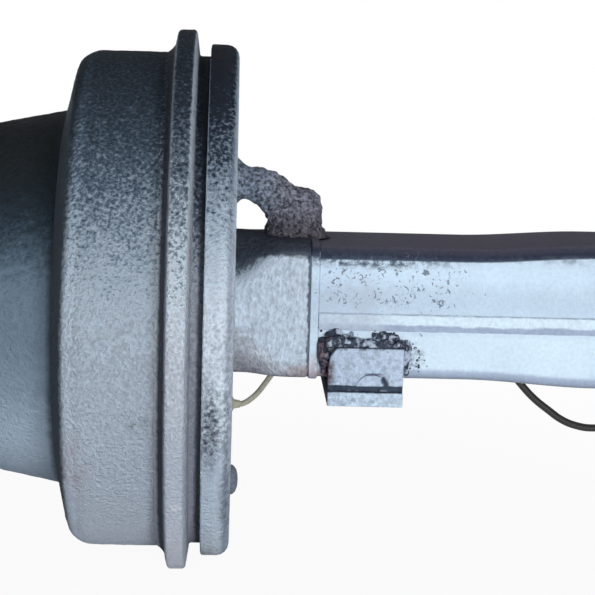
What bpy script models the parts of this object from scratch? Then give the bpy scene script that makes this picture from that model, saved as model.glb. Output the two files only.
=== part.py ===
"""Braked axle end: wheel hub, drum, cam brake, spindle and a length of beam made of two channels.

Metres, +Z up. X runs along the axle and the beam's open end is at +X. The origin is the middle of the
spring seat on the beam's top. In the axle's own frame X is zero at the drum's open end, and the axle's
axis is the X axis.
"""

import math

import bmesh
import bpy
from mathutils import Matrix, Vector

# Clearances: pieces at rest on each other, pieces that turn past each other
SEAT = 0.0003
RUNNING = 0.0005

# Facets round a full turn
LARGE_STEPS = 36
MEDIUM_STEPS = 24
SMALL_STEPS = 12

# Brake drum
DRUM_BORE_RADIUS = 0.200
DRUM_WALL = 0.020
DRUM_DEPTH = 0.100
FLANGE_HEIGHT = 0.020
FLANGE_WIDTH = 0.0155
FLANGE_SETBACK = 0.008
FLANGE_FOOT = 0.006
LIP_WALL = 0.017
LIP_RELIEF = 0.003
LIP_LENGTH = 0.010
SHOULDER_DEPTH = 0.018
SHOULDER_STEPS = 5
NECK_RADIUS = 0.166
NECK_LENGTH = 0.087
NECK_WALL = 0.012
DRUM_FLANGE_THICKNESS = 0.015

# Wheel hub and studs
STUD_COUNT = 10
STUD_CIRCLE_RADIUS = 0.1675
STUD_RADIUS = 0.011
STUD_HEAD_RADIUS = 0.0155
STUD_HEAD_HEIGHT = 0.010
STUD_LENGTH = 0.060
STUD_HEAD_ROOM = 0.003
WHEEL_FLANGE_EDGE = 0.0245
HUB_FLANGE_THICKNESS = 0.020
SPIGOT_RADIUS = 0.1297
PILOT_RADIUS = 0.1405
PILOT_LENGTH = 0.013
PILOT_CHAMFER = 0.002
NOSE_LENGTH = 0.050
NOSE_WALL = 0.022
HUB_WALL = 0.020
HUB_SHOULDER = 0.009
HUB_SKIRT = 0.01125
CAP_LENGTH = 0.040
CAP_WALL = 0.006
CAP_ROUND = 0.012

# Spindle and bearings
SEAL_LAND_RADIUS = 0.056
SEAL_LAND_LENGTH = 0.0435
SEAL_WIDTH = 0.014
INNER_JOURNAL_RADIUS = 0.045
INNER_BEARING_WIDTH = 0.045
OUTER_JOURNAL_RADIUS = 0.0325
OUTER_BEARING_WIDTH = 0.041
OUTER_BEARING_SETBACK = 0.012
BEARING_SECTION = 0.030
BEARING_RACE = 0.008
BEARING_TAPER = 0.005
ROLLER_COUNT = 10
ROLLER_FACETS = 8
ROLLER_INSET = 0.002
CAGE_HALF = 0.0012
JOURNAL_RELIEF = 0.003
THREAD_RADIUS = 0.0275
THREAD_LENGTH = 0.036
WASHER_THICKNESS = 0.004
WASHER_RADIUS = 0.044
NUT_RADIUS = 0.046
NUT_HEIGHT = 0.024
COLLAR_ROUND_RADIUS = 0.0645
COLLAR_HALF = 0.061
COLLAR_LENGTH = 0.066
COLLAR_BLEND = 0.0425
ROUND_EXPONENT = 2.0
BLEND_EXPONENT = 3.2
SQUARE_EXPONENT = 8.0

# Beam
BEAM_LENGTH = 0.452
BEAM_HALF_DEPTH = 0.060
BEAM_WAIST_HALF = 0.0583
BEAM_END_HALF = 0.064
BEAM_FLARE_START = 0.130
BEAM_FLARE_LENGTH = 0.115
BEAM_FLARE_STEPS = 6
BEAM_WALL = 0.010
BEAM_CORNER = 0.012
CORNER_STEPS = 5
SEAM_GAP = 0.002
SEAM_HEIGHT = -0.006
SEAM_WIDTH = 0.013
SEAM_CROWN = 0.0078
SEAM_PROUD = 0.0022
ROOT_WELD_WIDTH = 0.0075
ROOT_WELD_PROUD = 0.001

# Spider and dust cover
SPIDER_SETBACK = 0.0055
SPIDER_THICKNESS = 0.018
SPIDER_RADIUS = 0.118
COVER_RIM_GAP = 0.005
COVER_LABYRINTH = 0.0046
COVER_THICKNESS = 0.006
COVER_ROUND = 0.012
COVER_CAM_CLEARANCE = 0.002
COVER_BOLT_OFFSET = 0.090
COVER_BOLT_RISE = 0.034
COVER_BOLT_RADIUS = 0.006
COVER_BOLT_HEAD_RADIUS = 0.011
COVER_BOLT_HEAD_HEIGHT = 0.008
PLUG_OFFSET = -0.060
PLUG_INSET = 0.0771
PLUG_RADIUS = 0.009
PLUG_HEAD_RADIUS = 0.0135
PLUG_HEAD_HEIGHT = 0.0055
PLUG_DOME_RADIUS = 0.0095

# Strut and saddle bracket
STRUT_HEIGHT = 0.1068
STRUT_RADIUS = 0.017
STRUT_FOOT_RADIUS = 0.0245
STRUT_FOOT_STATION = 0.0545
STRUT_BEND = ((0.0, 1.0), (0.25, 1.0), (0.5, 0.88),
              (0.68, 0.73), (0.84, 0.6), (0.97, 0.46), (1.0, 0.24), (1.0, 0.0))
STRUT_LUMPS = (1.06, 0.96, 1.0, 1.02, 1.18, 1.42)
SADDLE_LENGTH = 0.066
SADDLE_TOP = 0.028
SADDLE_REAR_TOP = 0.038
SADDLE_PLATE = 0.012
SADDLE_FLOOR = 0.013
SADDLE_CLEARANCE = 0.009
SADDLE_GROOVE_WIDTH = 0.005
SADDLE_GROOVE_DEPTH = 0.004
SADDLE_WELD_RADIUS = 0.004

# Cam brake: the camshaft is behind the axle and the anchor pins are in front of it
CAM_INSET = 0.060
CAM_BASE_RADIUS = 0.012
CAM_REST_LIFT = 0.014
CAM_LOBE_TURN = 1.85
CAM_WIDTH = 0.072
CAM_ROOT = 0.010
CAM_FLANK_STEPS = 8
CAM_FLANK_START = 0.15
CAM_TIP_ANGLE = math.radians(170.0)
CAM_BACK = ((0.86, 0.16), (0.55, 0.45), (0.2, 0.52))
CAMSHAFT_RADIUS = 0.018
BUSH_WALL = 0.006
CAM_BOSS_WALL = 0.016
CAM_BRACKET_STATION = 0.355
CAM_BRACKET_THICKNESS = 0.014
CAM_BRACKET_RISE = 0.045
ADJUSTER_STATION = 0.405
ADJUSTER_THICKNESS = 0.025
ADJUSTER_RADIUS = 0.038
ADJUSTER_END_RADIUS = 0.016
ADJUSTER_ARM = 0.150
CLEVIS_HOLE_RADIUS = 0.0071
CAMSHAFT_TAIL = 0.012
CAM_ROLLER_RADIUS = 0.016
CAM_ROLLER_WIDTH = 0.024
ANCHOR_INSET = 0.060
ANCHOR_RISE = 0.028
ANCHOR_RADIUS = 0.013
ANCHOR_BOSS_WALL = 0.013
EYE_WALL = 0.008
SHOE_SETBACK = 0.008
LINING_WIDTH = 0.080
LINING_THICKNESS = 0.014
LINING_CLEARANCE = 0.0026
LINING_HALF_ANGLE = math.radians(56.0)
SHOE_HALF_ANGLE = math.radians(58.0)
SHOE_TABLE = 0.006
SHOE_TABLE_WIDTH = 0.076
SHOE_WEB = 0.014
SHOE_WEB_DEPTH = 0.060
SHOE_ARC_STEPS = 14
JAW_WALL = 0.007
SPRING_INSET = 0.0345
SPRING_PEG_RISE = 0.072
SPRING_PEG_RADIUS = 0.004
SPRING_PEG_LENGTH = 0.024
SPRING_RADIUS = 0.0062
SPRING_WIRE_RADIUS = 0.0015
SPRING_TURNS = 7
SPRING_TURN_POINTS = 8
SPRING_END = 0.012

# Wheel speed sensor and its lead
TONE_WIDTH = 0.012
TONE_HEIGHT = 0.009
TONE_TEETH = 24
TONE_TOOTH_DEPTH = 0.003
TONE_SHARES = ((0.0, 0), (0.45, 0), (0.5, 1), (0.95, 1))
SENSOR_ANGLE = math.radians(-80.0)
SENSOR_RADIUS = 0.008
SENSOR_AIR_GAP = 0.0008
SLEEVE_WALL = 0.003
SLEEVE_STICKOUT = 0.004
GLAND_FLANGE_RADIUS = 0.013
GLAND_FLANGE_THICKNESS = 0.003
GLAND_TAIL_LENGTH = 0.003
GLAND_TAIL_RADIUS = 0.0055
LEAD_RADIUS = 0.0035
LEAD_HEIGHT = -0.0275
LEAD_SPACING = 0.007
CLIP_WALL = 0.0015
CLIP_WIDTH = 0.012
CLIP_TAB = 0.013
CLIP_STATIONS = (0.152, 0.235, 0.470)
PLUG_BODY_RADIUS = 0.010
PLUG_BODY_LENGTH = 0.034
PLUG_TIP_RADIUS = 0.008
PLUG_NECK_RADIUS = 0.006
PLUG_NECK_LENGTH = 0.010
PLUG_LEAD = 0.040

# Local Z along the axle, local X along Y and local Y along Z
AXIAL = (math.pi / 2, 0.0, math.pi / 2)

# Colour, roughness and metallic value of each finish
FINISHES = {
    "cast": ((0.10, 0.11, 0.12), 0.62, 0.4),
    "paint": ((0.42, 0.46, 0.52), 0.48, 0.5),
    "weld": ((0.16, 0.16, 0.17), 0.6, 0.6),
    "steel": ((0.50, 0.51, 0.53), 0.3, 1.0),
    "zinc": ((0.62, 0.60, 0.52), 0.38, 0.9),
    "lining": ((0.17, 0.14, 0.12), 0.9, 0.0),
    "rubber": ((0.02, 0.02, 0.02), 0.6, 0.0),
    "bronze": ((0.45, 0.30, 0.13), 0.35, 0.9),
}

# Stations along the axle, worked out from the sizes above
drumRadius = DRUM_BORE_RADIUS + DRUM_WALL
flangeRadius = drumRadius + FLANGE_HEIGHT
lipRadius = DRUM_BORE_RADIUS + LIP_WALL
shoulderX = -DRUM_DEPTH - SHOULDER_DEPTH
neckX = shoulderX - NECK_LENGTH
drumFaceX = neckX - DRUM_FLANGE_THICKNESS
hubFlangeX = drumFaceX - SEAT
wheelFaceX = hubFlangeX - HUB_FLANGE_THICKNESS
noseX = wheelFaceX - NOSE_LENGTH
capX = noseX - SEAT - CAP_LENGTH
neckEndRadius = STUD_CIRCLE_RADIUS - STUD_HEAD_RADIUS - STUD_HEAD_ROOM
wheelFlangeRadius = STUD_CIRCLE_RADIUS + WHEEL_FLANGE_EDGE
spiderX = SPIDER_SETBACK + SPIDER_THICKNESS
coverInX = spiderX + SEAT
coverOutX = coverInX + COVER_THICKNESS
coverRadius = lipRadius + COVER_LABYRINTH + COVER_THICKNESS
camCentre = DRUM_BORE_RADIUS - CAM_INSET
anchorOffset = DRUM_BORE_RADIUS - ANCHOR_INSET
springOffset = camCentre - SPRING_INSET
plugDrop = coverRadius - PLUG_INSET
collarX = coverOutX + COLLAR_LENGTH
beamX = collarX + ROOT_WELD_WIDTH + 2 * SEAT
beamEndX = beamX + BEAM_LENGTH
seatX = beamX + (BEAM_FLARE_START + BEAM_FLARE_LENGTH + BEAM_LENGTH) / 2
landX = SPIDER_SETBACK - SEAL_LAND_LENGTH
innerBearingX = landX - SEAT
innerBearingEndX = innerBearingX - INNER_BEARING_WIDTH
outerBearingEndX = wheelFaceX - OUTER_BEARING_SETBACK
outerBearingX = outerBearingEndX + OUTER_BEARING_WIDTH
hubEndX = landX + SEAL_WIDTH + HUB_SKIRT
shoeX = -DRUM_DEPTH + SHOE_SETBACK + LINING_WIDTH / 2


def hole_for(radius, gap, steps):
    """Corner radius of a faceted hole whose flats stay a gap clear of a shaft."""
    return (radius + gap) / math.cos(math.pi / steps)


innerCupRadius = INNER_JOURNAL_RADIUS + BEARING_SECTION
outerCupRadius = OUTER_JOURNAL_RADIUS + BEARING_SECTION
innerSeatRadius = hole_for(innerCupRadius, SEAT, LARGE_STEPS)
outerSeatRadius = hole_for(outerCupRadius, SEAT, LARGE_STEPS)
hubRadius = innerSeatRadius + HUB_WALL
noseRadius = outerSeatRadius + NOSE_WALL
toneRadius = hole_for(hubRadius, SEAT, TONE_TEETH * 4) + TONE_HEIGHT
sensorRing = toneRadius - TONE_HEIGHT / 2
sensorY = sensorRing * math.cos(SENSOR_ANGLE)
sensorZ = sensorRing * math.sin(SENSOR_ANGLE)
rollerRadius = CAM_ROLLER_RADIUS - RUNNING
bushRadius = hole_for(CAMSHAFT_RADIUS, RUNNING, MEDIUM_STEPS) + BUSH_WALL
tableRadius = DRUM_BORE_RADIUS - LINING_CLEARANCE - LINING_THICKNESS - SEAT
leadY = BEAM_HALF_DEPTH + SEAT + CLIP_WALL + SEAT + LEAD_RADIUS
plugY = BEAM_HALF_DEPTH + SEAT + PLUG_BODY_RADIUS

for startup in list(bpy.data.objects):
    bpy.data.objects.remove(startup)
parts = bpy.data.collections.new("braked_axle_end")
cutters = bpy.data.collections.new("cutters")
bpy.context.scene.collection.children.link(parts)
bpy.context.scene.collection.children.link(cutters)
axleFrame = bpy.data.objects.new("axle_frame", None)
axleFrame.location = (-seatX, 0.0, -BEAM_END_HALF)
parts.objects.link(axleFrame)


def finish_material(name, finish):
    color, roughness, metallic = FINISHES[finish]
    made = bpy.data.materials.new(name + "_" + finish)
    made.use_nodes = True
    shader = made.node_tree.nodes["Principled BSDF"]
    shader.inputs["Base Color"].default_value = (*color, 1.0)
    shader.inputs["Roughness"].default_value = roughness
    shader.inputs["Metallic"].default_value = metallic
    return made


def add_part(obj, finish, location=(0.0, 0.0, 0.0), rotation=(0.0, 0.0, 0.0)):
    parts.objects.link(obj)
    obj.parent = axleFrame
    obj.location = location
    obj.rotation_euler = rotation
    obj.data.materials.append(finish_material(obj.name, finish))
    return obj


def arc(centre, radius, start, end, steps):
    """Points on a round stretch, angles in degrees."""
    angles = [math.radians(start + (end - start) * k / steps) for k in range(steps + 1)]
    return [(centre[0] + radius * math.cos(a), centre[1] + radius * math.sin(a)) for a in angles]


def circle(centre, radius, steps):
    return arc(centre, radius, 0.0, 360.0, steps)[:-1]


def turned(name, finish, profile, steps, location=(0.0, 0.0, 0.0)):
    """A turned piece from (station, radius) points: a closed loop, or a line from axis to axis."""
    pairs = zip(profile, profile[1:] + profile[:1])
    area = sum(r1 * x2 - r2 * x1 for (x1, r1), (x2, r2) in pairs)
    points = profile if area < 0 else profile[::-1]
    closed = min(r for x, r in points) > 0
    count = len(points)
    edges = [(k, (k + 1) % count) for k in range(count if closed else count - 1)]
    mesh = bpy.data.meshes.new(name)
    mesh.from_pydata([(r, 0.0, x) for x, r in points], edges, [])
    obj = bpy.data.objects.new(name, mesh)
    screw = obj.modifiers.new("Turn", "SCREW")
    screw.axis = "Z"
    screw.steps = steps
    screw.render_steps = steps
    screw.use_merge_vertices = True
    screw.merge_threshold = 0.00001
    return add_part(obj, finish, location, AXIAL)


def plate(name, finish, loops, start, end, location=(0.0, 0.0, 0.0)):
    """A flat outline in Y and Z, with any holes as further loops, from one station to another."""
    curve = bpy.data.curves.new(name, "CURVE")
    curve.dimensions = "2D"
    curve.fill_mode = "BOTH"
    curve.extrude = abs(end - start) / 2
    for loop in loops:
        spline = curve.splines.new("POLY")
        spline.points.add(len(loop) - 1)
        spline.use_cyclic_u = True
        for point, (y, z) in zip(spline.points, loop):
            point.co = (y, z, 0.0, 1.0)
    obj = bpy.data.objects.new(name, curve)
    middle = Vector(location) + Vector(((start + end) / 2, 0.0, 0.0))
    return add_part(obj, finish, middle, AXIAL)


def tube(name, finish, points, radius, resolution, scales=None):
    """A round bar along points, whose radius can change from point to point."""
    curve = bpy.data.curves.new(name, "CURVE")
    curve.dimensions = "3D"
    curve.bevel_depth = radius
    curve.bevel_resolution = resolution
    curve.use_fill_caps = True
    spline = curve.splines.new("POLY")
    spline.points.add(len(points) - 1)
    for k, point in enumerate(points):
        spline.points[k].co = (*point, 1.0)
        spline.points[k].radius = scales[k] if scales else 1.0
    return add_part(bpy.data.objects.new(name, curve), finish)


def loft(name, finish, sections):
    """A solid through closed loops that have the same number of points."""
    shape = bmesh.new()
    rings = [[shape.verts.new(point) for point in loop] for loop in sections]
    for near, far in zip(rings, rings[1:]):
        for k in range(len(near)):
            n = (k + 1) % len(near)
            shape.faces.new((near[k], near[n], far[n], far[k]))
    shape.faces.new(rings[0])
    shape.faces.new(rings[-1])
    bmesh.ops.recalc_face_normals(shape, faces=shape.faces)
    mesh = bpy.data.meshes.new(name)
    shape.to_mesh(mesh)
    shape.free()
    return add_part(bpy.data.objects.new(name, mesh), finish)


def as_mesh(curve_object):
    """The same piece as a mesh with its caps welded."""
    bpy.context.view_layer.update()
    evaluated = curve_object.evaluated_get(bpy.context.evaluated_depsgraph_get())
    mesh = bpy.data.meshes.new_from_object(evaluated)
    shape = bmesh.new()
    shape.from_mesh(mesh)
    bmesh.ops.remove_doubles(shape, verts=shape.verts, dist=0.00001)
    shape.to_mesh(mesh)
    shape.free()
    name = curve_object.name
    curve_object.name = name + "_outline"
    obj = bpy.data.objects.new(name, mesh)
    parts.objects.link(obj)
    obj.parent = axleFrame
    obj.location = curve_object.location
    obj.rotation_euler = curve_object.rotation_euler
    bpy.data.objects.remove(curve_object)
    return obj


def helper(obj):
    """Takes a piece out of the parts, for use in a Boolean."""
    for collection in list(obj.users_collection):
        collection.objects.unlink(obj)
    cutters.objects.link(obj)
    obj.hide_render = True
    obj.display_type = "WIRE"
    obj.parent = axleFrame
    return obj


def combine(target, other, operation):
    boolean = target.modifiers.new(operation.title(), "BOOLEAN")
    boolean.operation = operation
    boolean.object = helper(other)


def rods(name, places, radius, start, end, steps):
    """Plain cylinders along the axle, as one object, at (Y, Z) places."""
    shape = bmesh.new()
    turn = Matrix.Rotation(math.pi / 2, 4, "Z") @ Matrix.Rotation(math.pi / 2, 4, "X")
    for y, z in places:
        bmesh.ops.create_cone(
            shape,
            cap_ends=True,
            segments=steps,
            radius1=radius,
            radius2=radius,
            depth=abs(end - start),
            matrix=Matrix.Translation(((start + end) / 2, y, z)) @ turn,
        )
    mesh = bpy.data.meshes.new(name)
    shape.to_mesh(mesh)
    shape.free()
    return bpy.data.objects.new(name, mesh)


def drill(target, name, places, radius, start, end, steps=SMALL_STEPS):
    combine(target, rods(name, places, radius, start, end, steps), "DIFFERENCE")


def squircle(x, half, exponent, count):
    """A section from round, at exponent 2, to square with soft corners."""
    points = []
    for k in range(count):
        c = math.cos(2 * math.pi * k / count)
        s = math.sin(2 * math.pi * k / count)
        y = half * math.copysign(abs(c) ** (2 / exponent), c)
        z = half * math.copysign(abs(s) ** (2 / exponent), s)
        points.append((x, y, z))
    return points


def smooth_route(points, spacing):
    """Points spaced along a smooth curve through a route's own points."""
    knots = [Vector(p) for p in points]
    knots = [2 * knots[0] - knots[1]] + knots + [2 * knots[-1] - knots[-2]]
    dense = []
    for a, b, c, d in zip(knots, knots[1:], knots[2:], knots[3:]):
        for k in range(24):
            t = k / 24
            bend = (2 * a - 5 * b + 4 * c - d) * t * t + (3 * b - a - 3 * c + d) * t * t * t
            dense.append((2 * b + (c - a) * t + bend) / 2)
    dense.append(knots[-2])
    route = [dense[0]]
    for point in dense[1:-1]:
        if (point - route[-1]).length >= spacing and (point - dense[-1]).length >= spacing / 2:
            route.append(point)
    return route + [dense[-1]]


def stud_places():
    step = 2 * math.pi / STUD_COUNT
    ring = [step * (k + 0.5) for k in range(STUD_COUNT)]
    return [(STUD_CIRCLE_RADIUS * math.cos(a), STUD_CIRCLE_RADIUS * math.sin(a)) for a in ring]


def brake_drum():
    flange_foot_x = -FLANGE_SETBACK - FLANGE_WIDTH - FLANGE_FOOT
    shoulder_height = drumRadius - NECK_RADIUS
    shoulder = []
    for k in range(1, SHOULDER_STEPS + 1):
        a = math.pi / 2 * k / SHOULDER_STEPS
        x = -DRUM_DEPTH - SHOULDER_DEPTH * math.sin(a)
        shoulder.append((x, NECK_RADIUS + shoulder_height * math.cos(a)))
    spigot_bore = hole_for(SPIGOT_RADIUS, SEAT, LARGE_STEPS)
    inner_neck = NECK_RADIUS - NECK_WALL
    profile = [
        (LIP_LENGTH, lipRadius),
        (-FLANGE_SETBACK, lipRadius),
        (-FLANGE_SETBACK, flangeRadius),
        (-FLANGE_SETBACK - FLANGE_WIDTH, flangeRadius),
        (-FLANGE_SETBACK - FLANGE_WIDTH - FLANGE_FOOT / 3, drumRadius + FLANGE_FOOT),
        (flange_foot_x, drumRadius),
        (-DRUM_DEPTH, drumRadius),
    ]
    profile += shoulder
    profile += [
        (neckX, neckEndRadius),
        (neckX, wheelFlangeRadius),
        (drumFaceX, wheelFlangeRadius),
        (drumFaceX, spigot_bore),
        (neckX, spigot_bore),
        (neckX, neckEndRadius - NECK_WALL),
        (-DRUM_DEPTH - SHOULDER_DEPTH / 2, inner_neck),
        (-DRUM_DEPTH, DRUM_BORE_RADIUS - NECK_WALL),
        (-DRUM_DEPTH + NECK_WALL / 2, DRUM_BORE_RADIUS),
        (-FLANGE_SETBACK, DRUM_BORE_RADIUS),
        (-FLANGE_SETBACK, DRUM_BORE_RADIUS + LIP_RELIEF),
        (LIP_LENGTH, DRUM_BORE_RADIUS + LIP_RELIEF),
    ]
    drum = turned("brake_drum", "cast", profile, LARGE_STEPS)
    hole = hole_for(STUD_RADIUS, SEAT, SMALL_STEPS)
    drill(drum, "drum_stud_holes", stud_places(), hole, neckX + SEAT, drumFaceX - SEAT)


def wheel_hub():
    shoulder_x = innerBearingEndX - SEAT
    outer_shoulder_x = outerBearingX + SEAT
    profile = [
        (hubEndX, hubRadius),
        ((innerBearingEndX + neckX) / 2, hubRadius),
        (neckX, SPIGOT_RADIUS - PILOT_CHAMFER),
        (neckX - PILOT_CHAMFER, SPIGOT_RADIUS),
        (hubFlangeX, SPIGOT_RADIUS),
        (hubFlangeX, wheelFlangeRadius),
        (wheelFaceX, wheelFlangeRadius),
        (wheelFaceX, PILOT_RADIUS),
        (wheelFaceX - PILOT_LENGTH + PILOT_CHAMFER, PILOT_RADIUS),
        (wheelFaceX - PILOT_LENGTH, PILOT_RADIUS - PILOT_CHAMFER),
        (wheelFaceX - PILOT_LENGTH, noseRadius + PILOT_CHAMFER),
        (noseX, noseRadius),
        (noseX, outerSeatRadius),
        (outer_shoulder_x, outerSeatRadius),
        (outer_shoulder_x, outerSeatRadius - HUB_SHOULDER),
        (shoulder_x, innerSeatRadius - HUB_SHOULDER),
        (shoulder_x, innerSeatRadius),
        (hubEndX, innerSeatRadius),
    ]
    hub = turned("wheel_hub", "cast", profile, LARGE_STEPS)
    hole = hole_for(STUD_RADIUS, SEAT, SMALL_STEPS)
    drill(hub, "hub_stud_holes", stud_places(), hole, hubFlangeX + SEAT / 2, wheelFaceX - SEAT)


def wheel_studs():
    head_x = neckX + SEAT
    tip_x = wheelFaceX - STUD_LENGTH
    profile = [
        (head_x + STUD_HEAD_HEIGHT, 0.0),
        (head_x + STUD_HEAD_HEIGHT, STUD_HEAD_RADIUS),
        (head_x, STUD_HEAD_RADIUS),
        (head_x, STUD_RADIUS),
        (tip_x + PILOT_CHAMFER, STUD_RADIUS),
        (tip_x, STUD_RADIUS - PILOT_CHAMFER),
        (tip_x, 0.0),
    ]
    for k, (y, z) in enumerate(stud_places()):
        turned(f"wheel_stud_{k + 1}", "zinc", profile, SMALL_STEPS, (0.0, y, z))


def hub_cap():
    face_x = noseX - SEAT
    inside_x = capX + CAP_WALL
    corner = arc((capX + CAP_ROUND, noseRadius - CAP_ROUND), CAP_ROUND, 90.0, 180.0, CORNER_STEPS)
    shell = [(face_x, outerSeatRadius), (face_x, noseRadius)] + corner + [(capX, 0.0)]
    profile = [(inside_x, 0.0), (inside_x, outerSeatRadius - CAP_ROUND)] + shell
    turned("hub_cap", "steel", profile, MEDIUM_STEPS)


def bearing(prefix, journal, start, end):
    """A taper roller bearing: cone on the journal, rollers, cup in the hub; it opens towards its start."""
    cone_bore = hole_for(journal, SEAT, MEDIUM_STEPS)
    cup_radius = journal + BEARING_SECTION
    taper = BEARING_TAPER
    track = journal + BEARING_RACE
    cone = [(start, cone_bore), (start, track + taper), (end, track), (end, cone_bore)]
    turned(prefix + "_bearing_cone", "steel", cone, MEDIUM_STEPS)
    cup_track = cup_radius - BEARING_RACE
    cup = [(start, cup_radius), (start, cup_track), (end, cup_track - taper), (end, cup_radius)]
    turned(prefix + "_bearing_cup", "steel", cup, MEDIUM_STEPS)
    roller_set(prefix, journal, start, end, taper)


def roller_set(prefix, journal, start, end, taper):
    """The rollers and their cage, which runs through the middle of them all."""
    flat = math.cos(math.pi / MEDIUM_STEPS)
    low = journal + BEARING_RACE + RUNNING
    high = (journal + BEARING_SECTION - BEARING_RACE) * flat - RUNNING - taper
    size = (high - low) / 2 - RUNNING
    middle = (high + low) / 2
    inset = math.copysign(ROLLER_INSET, end - start)
    wide = middle + taper
    cage = [
        (start + inset / 2, wide - CAGE_HALF),
        (start + inset / 2, wide + CAGE_HALF),
        (end - inset / 2, middle + CAGE_HALF),
        (end - inset / 2, middle - CAGE_HALF),
    ]
    name = prefix + "_bearing_rollers"
    cage_ring = turned(name, "steel", cage, MEDIUM_STEPS)
    shape = bmesh.new()
    lean = Matrix.Rotation(-math.atan2(taper, start - end), 4, "Y")
    along = Matrix.Rotation(math.pi / 2, 4, "Z") @ Matrix.Rotation(math.pi / 2, 4, "X")
    for k in range(ROLLER_COUNT):
        spin = Matrix.Rotation(2 * math.pi * (k + 0.5) / ROLLER_COUNT, 4, "X")
        station = Matrix.Translation(((start + end) / 2, 0.0, middle + taper / 2))
        bmesh.ops.create_cone(
            shape,
            cap_ends=True,
            segments=ROLLER_FACETS,
            radius1=size,
            radius2=size,
            depth=abs(end - start) - 4 * abs(inset),
            matrix=spin @ station @ lean @ along,
        )
    mesh = bpy.data.meshes.new(prefix + "_rollers")
    shape.to_mesh(mesh)
    shape.free()
    combine(cage_ring, bpy.data.objects.new(prefix + "_rollers", mesh), "UNION")


def spindle():
    blend_x = coverOutX + COLLAR_BLEND
    rounds = [
        (coverInX, COLLAR_ROUND_RADIUS),
        (SPIDER_SETBACK - SEAT, COLLAR_ROUND_RADIUS),
        (SPIDER_SETBACK - SEAT, SEAL_LAND_RADIUS),
        (landX, SEAL_LAND_RADIUS),
        (landX, INNER_JOURNAL_RADIUS),
        (innerBearingEndX - JOURNAL_RELIEF, INNER_JOURNAL_RADIUS),
        (outerBearingX + JOURNAL_RELIEF, OUTER_JOURNAL_RADIUS),
        (outerBearingEndX, OUTER_JOURNAL_RADIUS),
        (outerBearingEndX, THREAD_RADIUS),
        (outerBearingEndX - THREAD_LENGTH, THREAD_RADIUS),
    ]
    sections = [
        squircle(collarX, COLLAR_HALF, SQUARE_EXPONENT, MEDIUM_STEPS),
        squircle(blend_x, COLLAR_HALF, SQUARE_EXPONENT, MEDIUM_STEPS),
        squircle((coverOutX + blend_x) / 2, COLLAR_HALF, BLEND_EXPONENT, MEDIUM_STEPS),
        squircle(coverOutX, COLLAR_ROUND_RADIUS, ROUND_EXPONENT, MEDIUM_STEPS),
    ]
    sections += [squircle(x, r, ROUND_EXPONENT, MEDIUM_STEPS) for x, r in rounds]
    loft("axle_spindle", "paint", sections)


def spindle_fittings():
    seal_x = landX + SEAL_WIDTH
    seal_bore = hole_for(SEAL_LAND_RADIUS, RUNNING, MEDIUM_STEPS)
    back_x = landX + SEAT
    seal = [(back_x, seal_bore), (back_x, innerCupRadius), (seal_x, innerCupRadius), (seal_x, seal_bore)]
    turned("hub_seal", "rubber", seal, MEDIUM_STEPS)
    bore = hole_for(THREAD_RADIUS, SEAT, MEDIUM_STEPS)
    washer_x = outerBearingEndX - SEAT
    washer_end = washer_x - WASHER_THICKNESS
    washer = [(washer_x, bore), (washer_x, WASHER_RADIUS), (washer_end, WASHER_RADIUS), (washer_end, bore)]
    turned("thrust_washer", "steel", washer, MEDIUM_STEPS)
    nut_x = washer_end - SEAT
    loops = [circle((0.0, 0.0), NUT_RADIUS, 6), circle((0.0, 0.0), bore, MEDIUM_STEPS)]
    plate("axle_nut", "zinc", loops, nut_x, nut_x - NUT_HEIGHT)


def beam_half(station):
    """Half the beam's height at a distance from its start: a waist, a flare and a straight end."""
    t = min(1.0, max(0.0, (station - BEAM_FLARE_START) / BEAM_FLARE_LENGTH))
    return BEAM_WAIST_HALF + (BEAM_END_HALF - BEAM_WAIST_HALF) * t * t * (3 - 2 * t)


def channel_loop(station, side):
    half = beam_half(station)
    lip = SEAM_GAP + side * SEAM_HEIGHT
    y = BEAM_HALF_DEPTH - BEAM_CORNER
    z = half - BEAM_CORNER
    inner = BEAM_CORNER - BEAM_WALL
    outline = [(BEAM_HALF_DEPTH, lip)]
    outline += arc((y, z), BEAM_CORNER, 0.0, 90.0, CORNER_STEPS)
    outline += arc((-y, z), BEAM_CORNER, 90.0, 180.0, CORNER_STEPS)
    outline += [(-BEAM_HALF_DEPTH, lip), (BEAM_WALL - BEAM_HALF_DEPTH, lip)]
    outline += arc((-y, z), inner, 180.0, 90.0, CORNER_STEPS)
    outline += arc((y, z), inner, 90.0, 0.0, CORNER_STEPS)
    outline += [(BEAM_HALF_DEPTH - BEAM_WALL, lip)]
    return [(beamX + station, py, side * pz) for py, pz in outline]


def beam():
    flare = [BEAM_FLARE_START + BEAM_FLARE_LENGTH * k / BEAM_FLARE_STEPS for k in range(BEAM_FLARE_STEPS + 1)]
    stations = [0.0] + flare + [BEAM_LENGTH]
    loft("upper_beam_channel", "paint", [channel_loop(s, 1) for s in stations])
    loft("lower_beam_channel", "paint", [channel_loop(s, -1) for s in stations])
    low = SEAM_HEIGHT - SEAM_WIDTH / 2
    high = SEAM_HEIGHT + SEAM_WIDTH / 2
    edge = (SEAM_WIDTH - SEAM_CROWN) / 2
    for name, side in (("front_seam_weld", -1), ("rear_seam_weld", 1)):
        near = side * (BEAM_HALF_DEPTH + SEAT)
        crown = side * (BEAM_HALF_DEPTH + SEAT + SEAM_PROUD)
        outline = [(near, low), (crown, low + edge), (crown, high - edge), (near, high)]
        plate(name, "weld", [outline], beamX, beamEndX)


def root_weld():
    loops = []
    for half in (COLLAR_HALF + ROOT_WELD_PROUD, COLLAR_HALF - BEAM_WALL):
        loops.append([(y, z) for x, y, z in squircle(0.0, half, SQUARE_EXPONENT, MEDIUM_STEPS)])
    plate("root_weld", "weld", loops, collarX + SEAT, beamX - SEAT)


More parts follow.
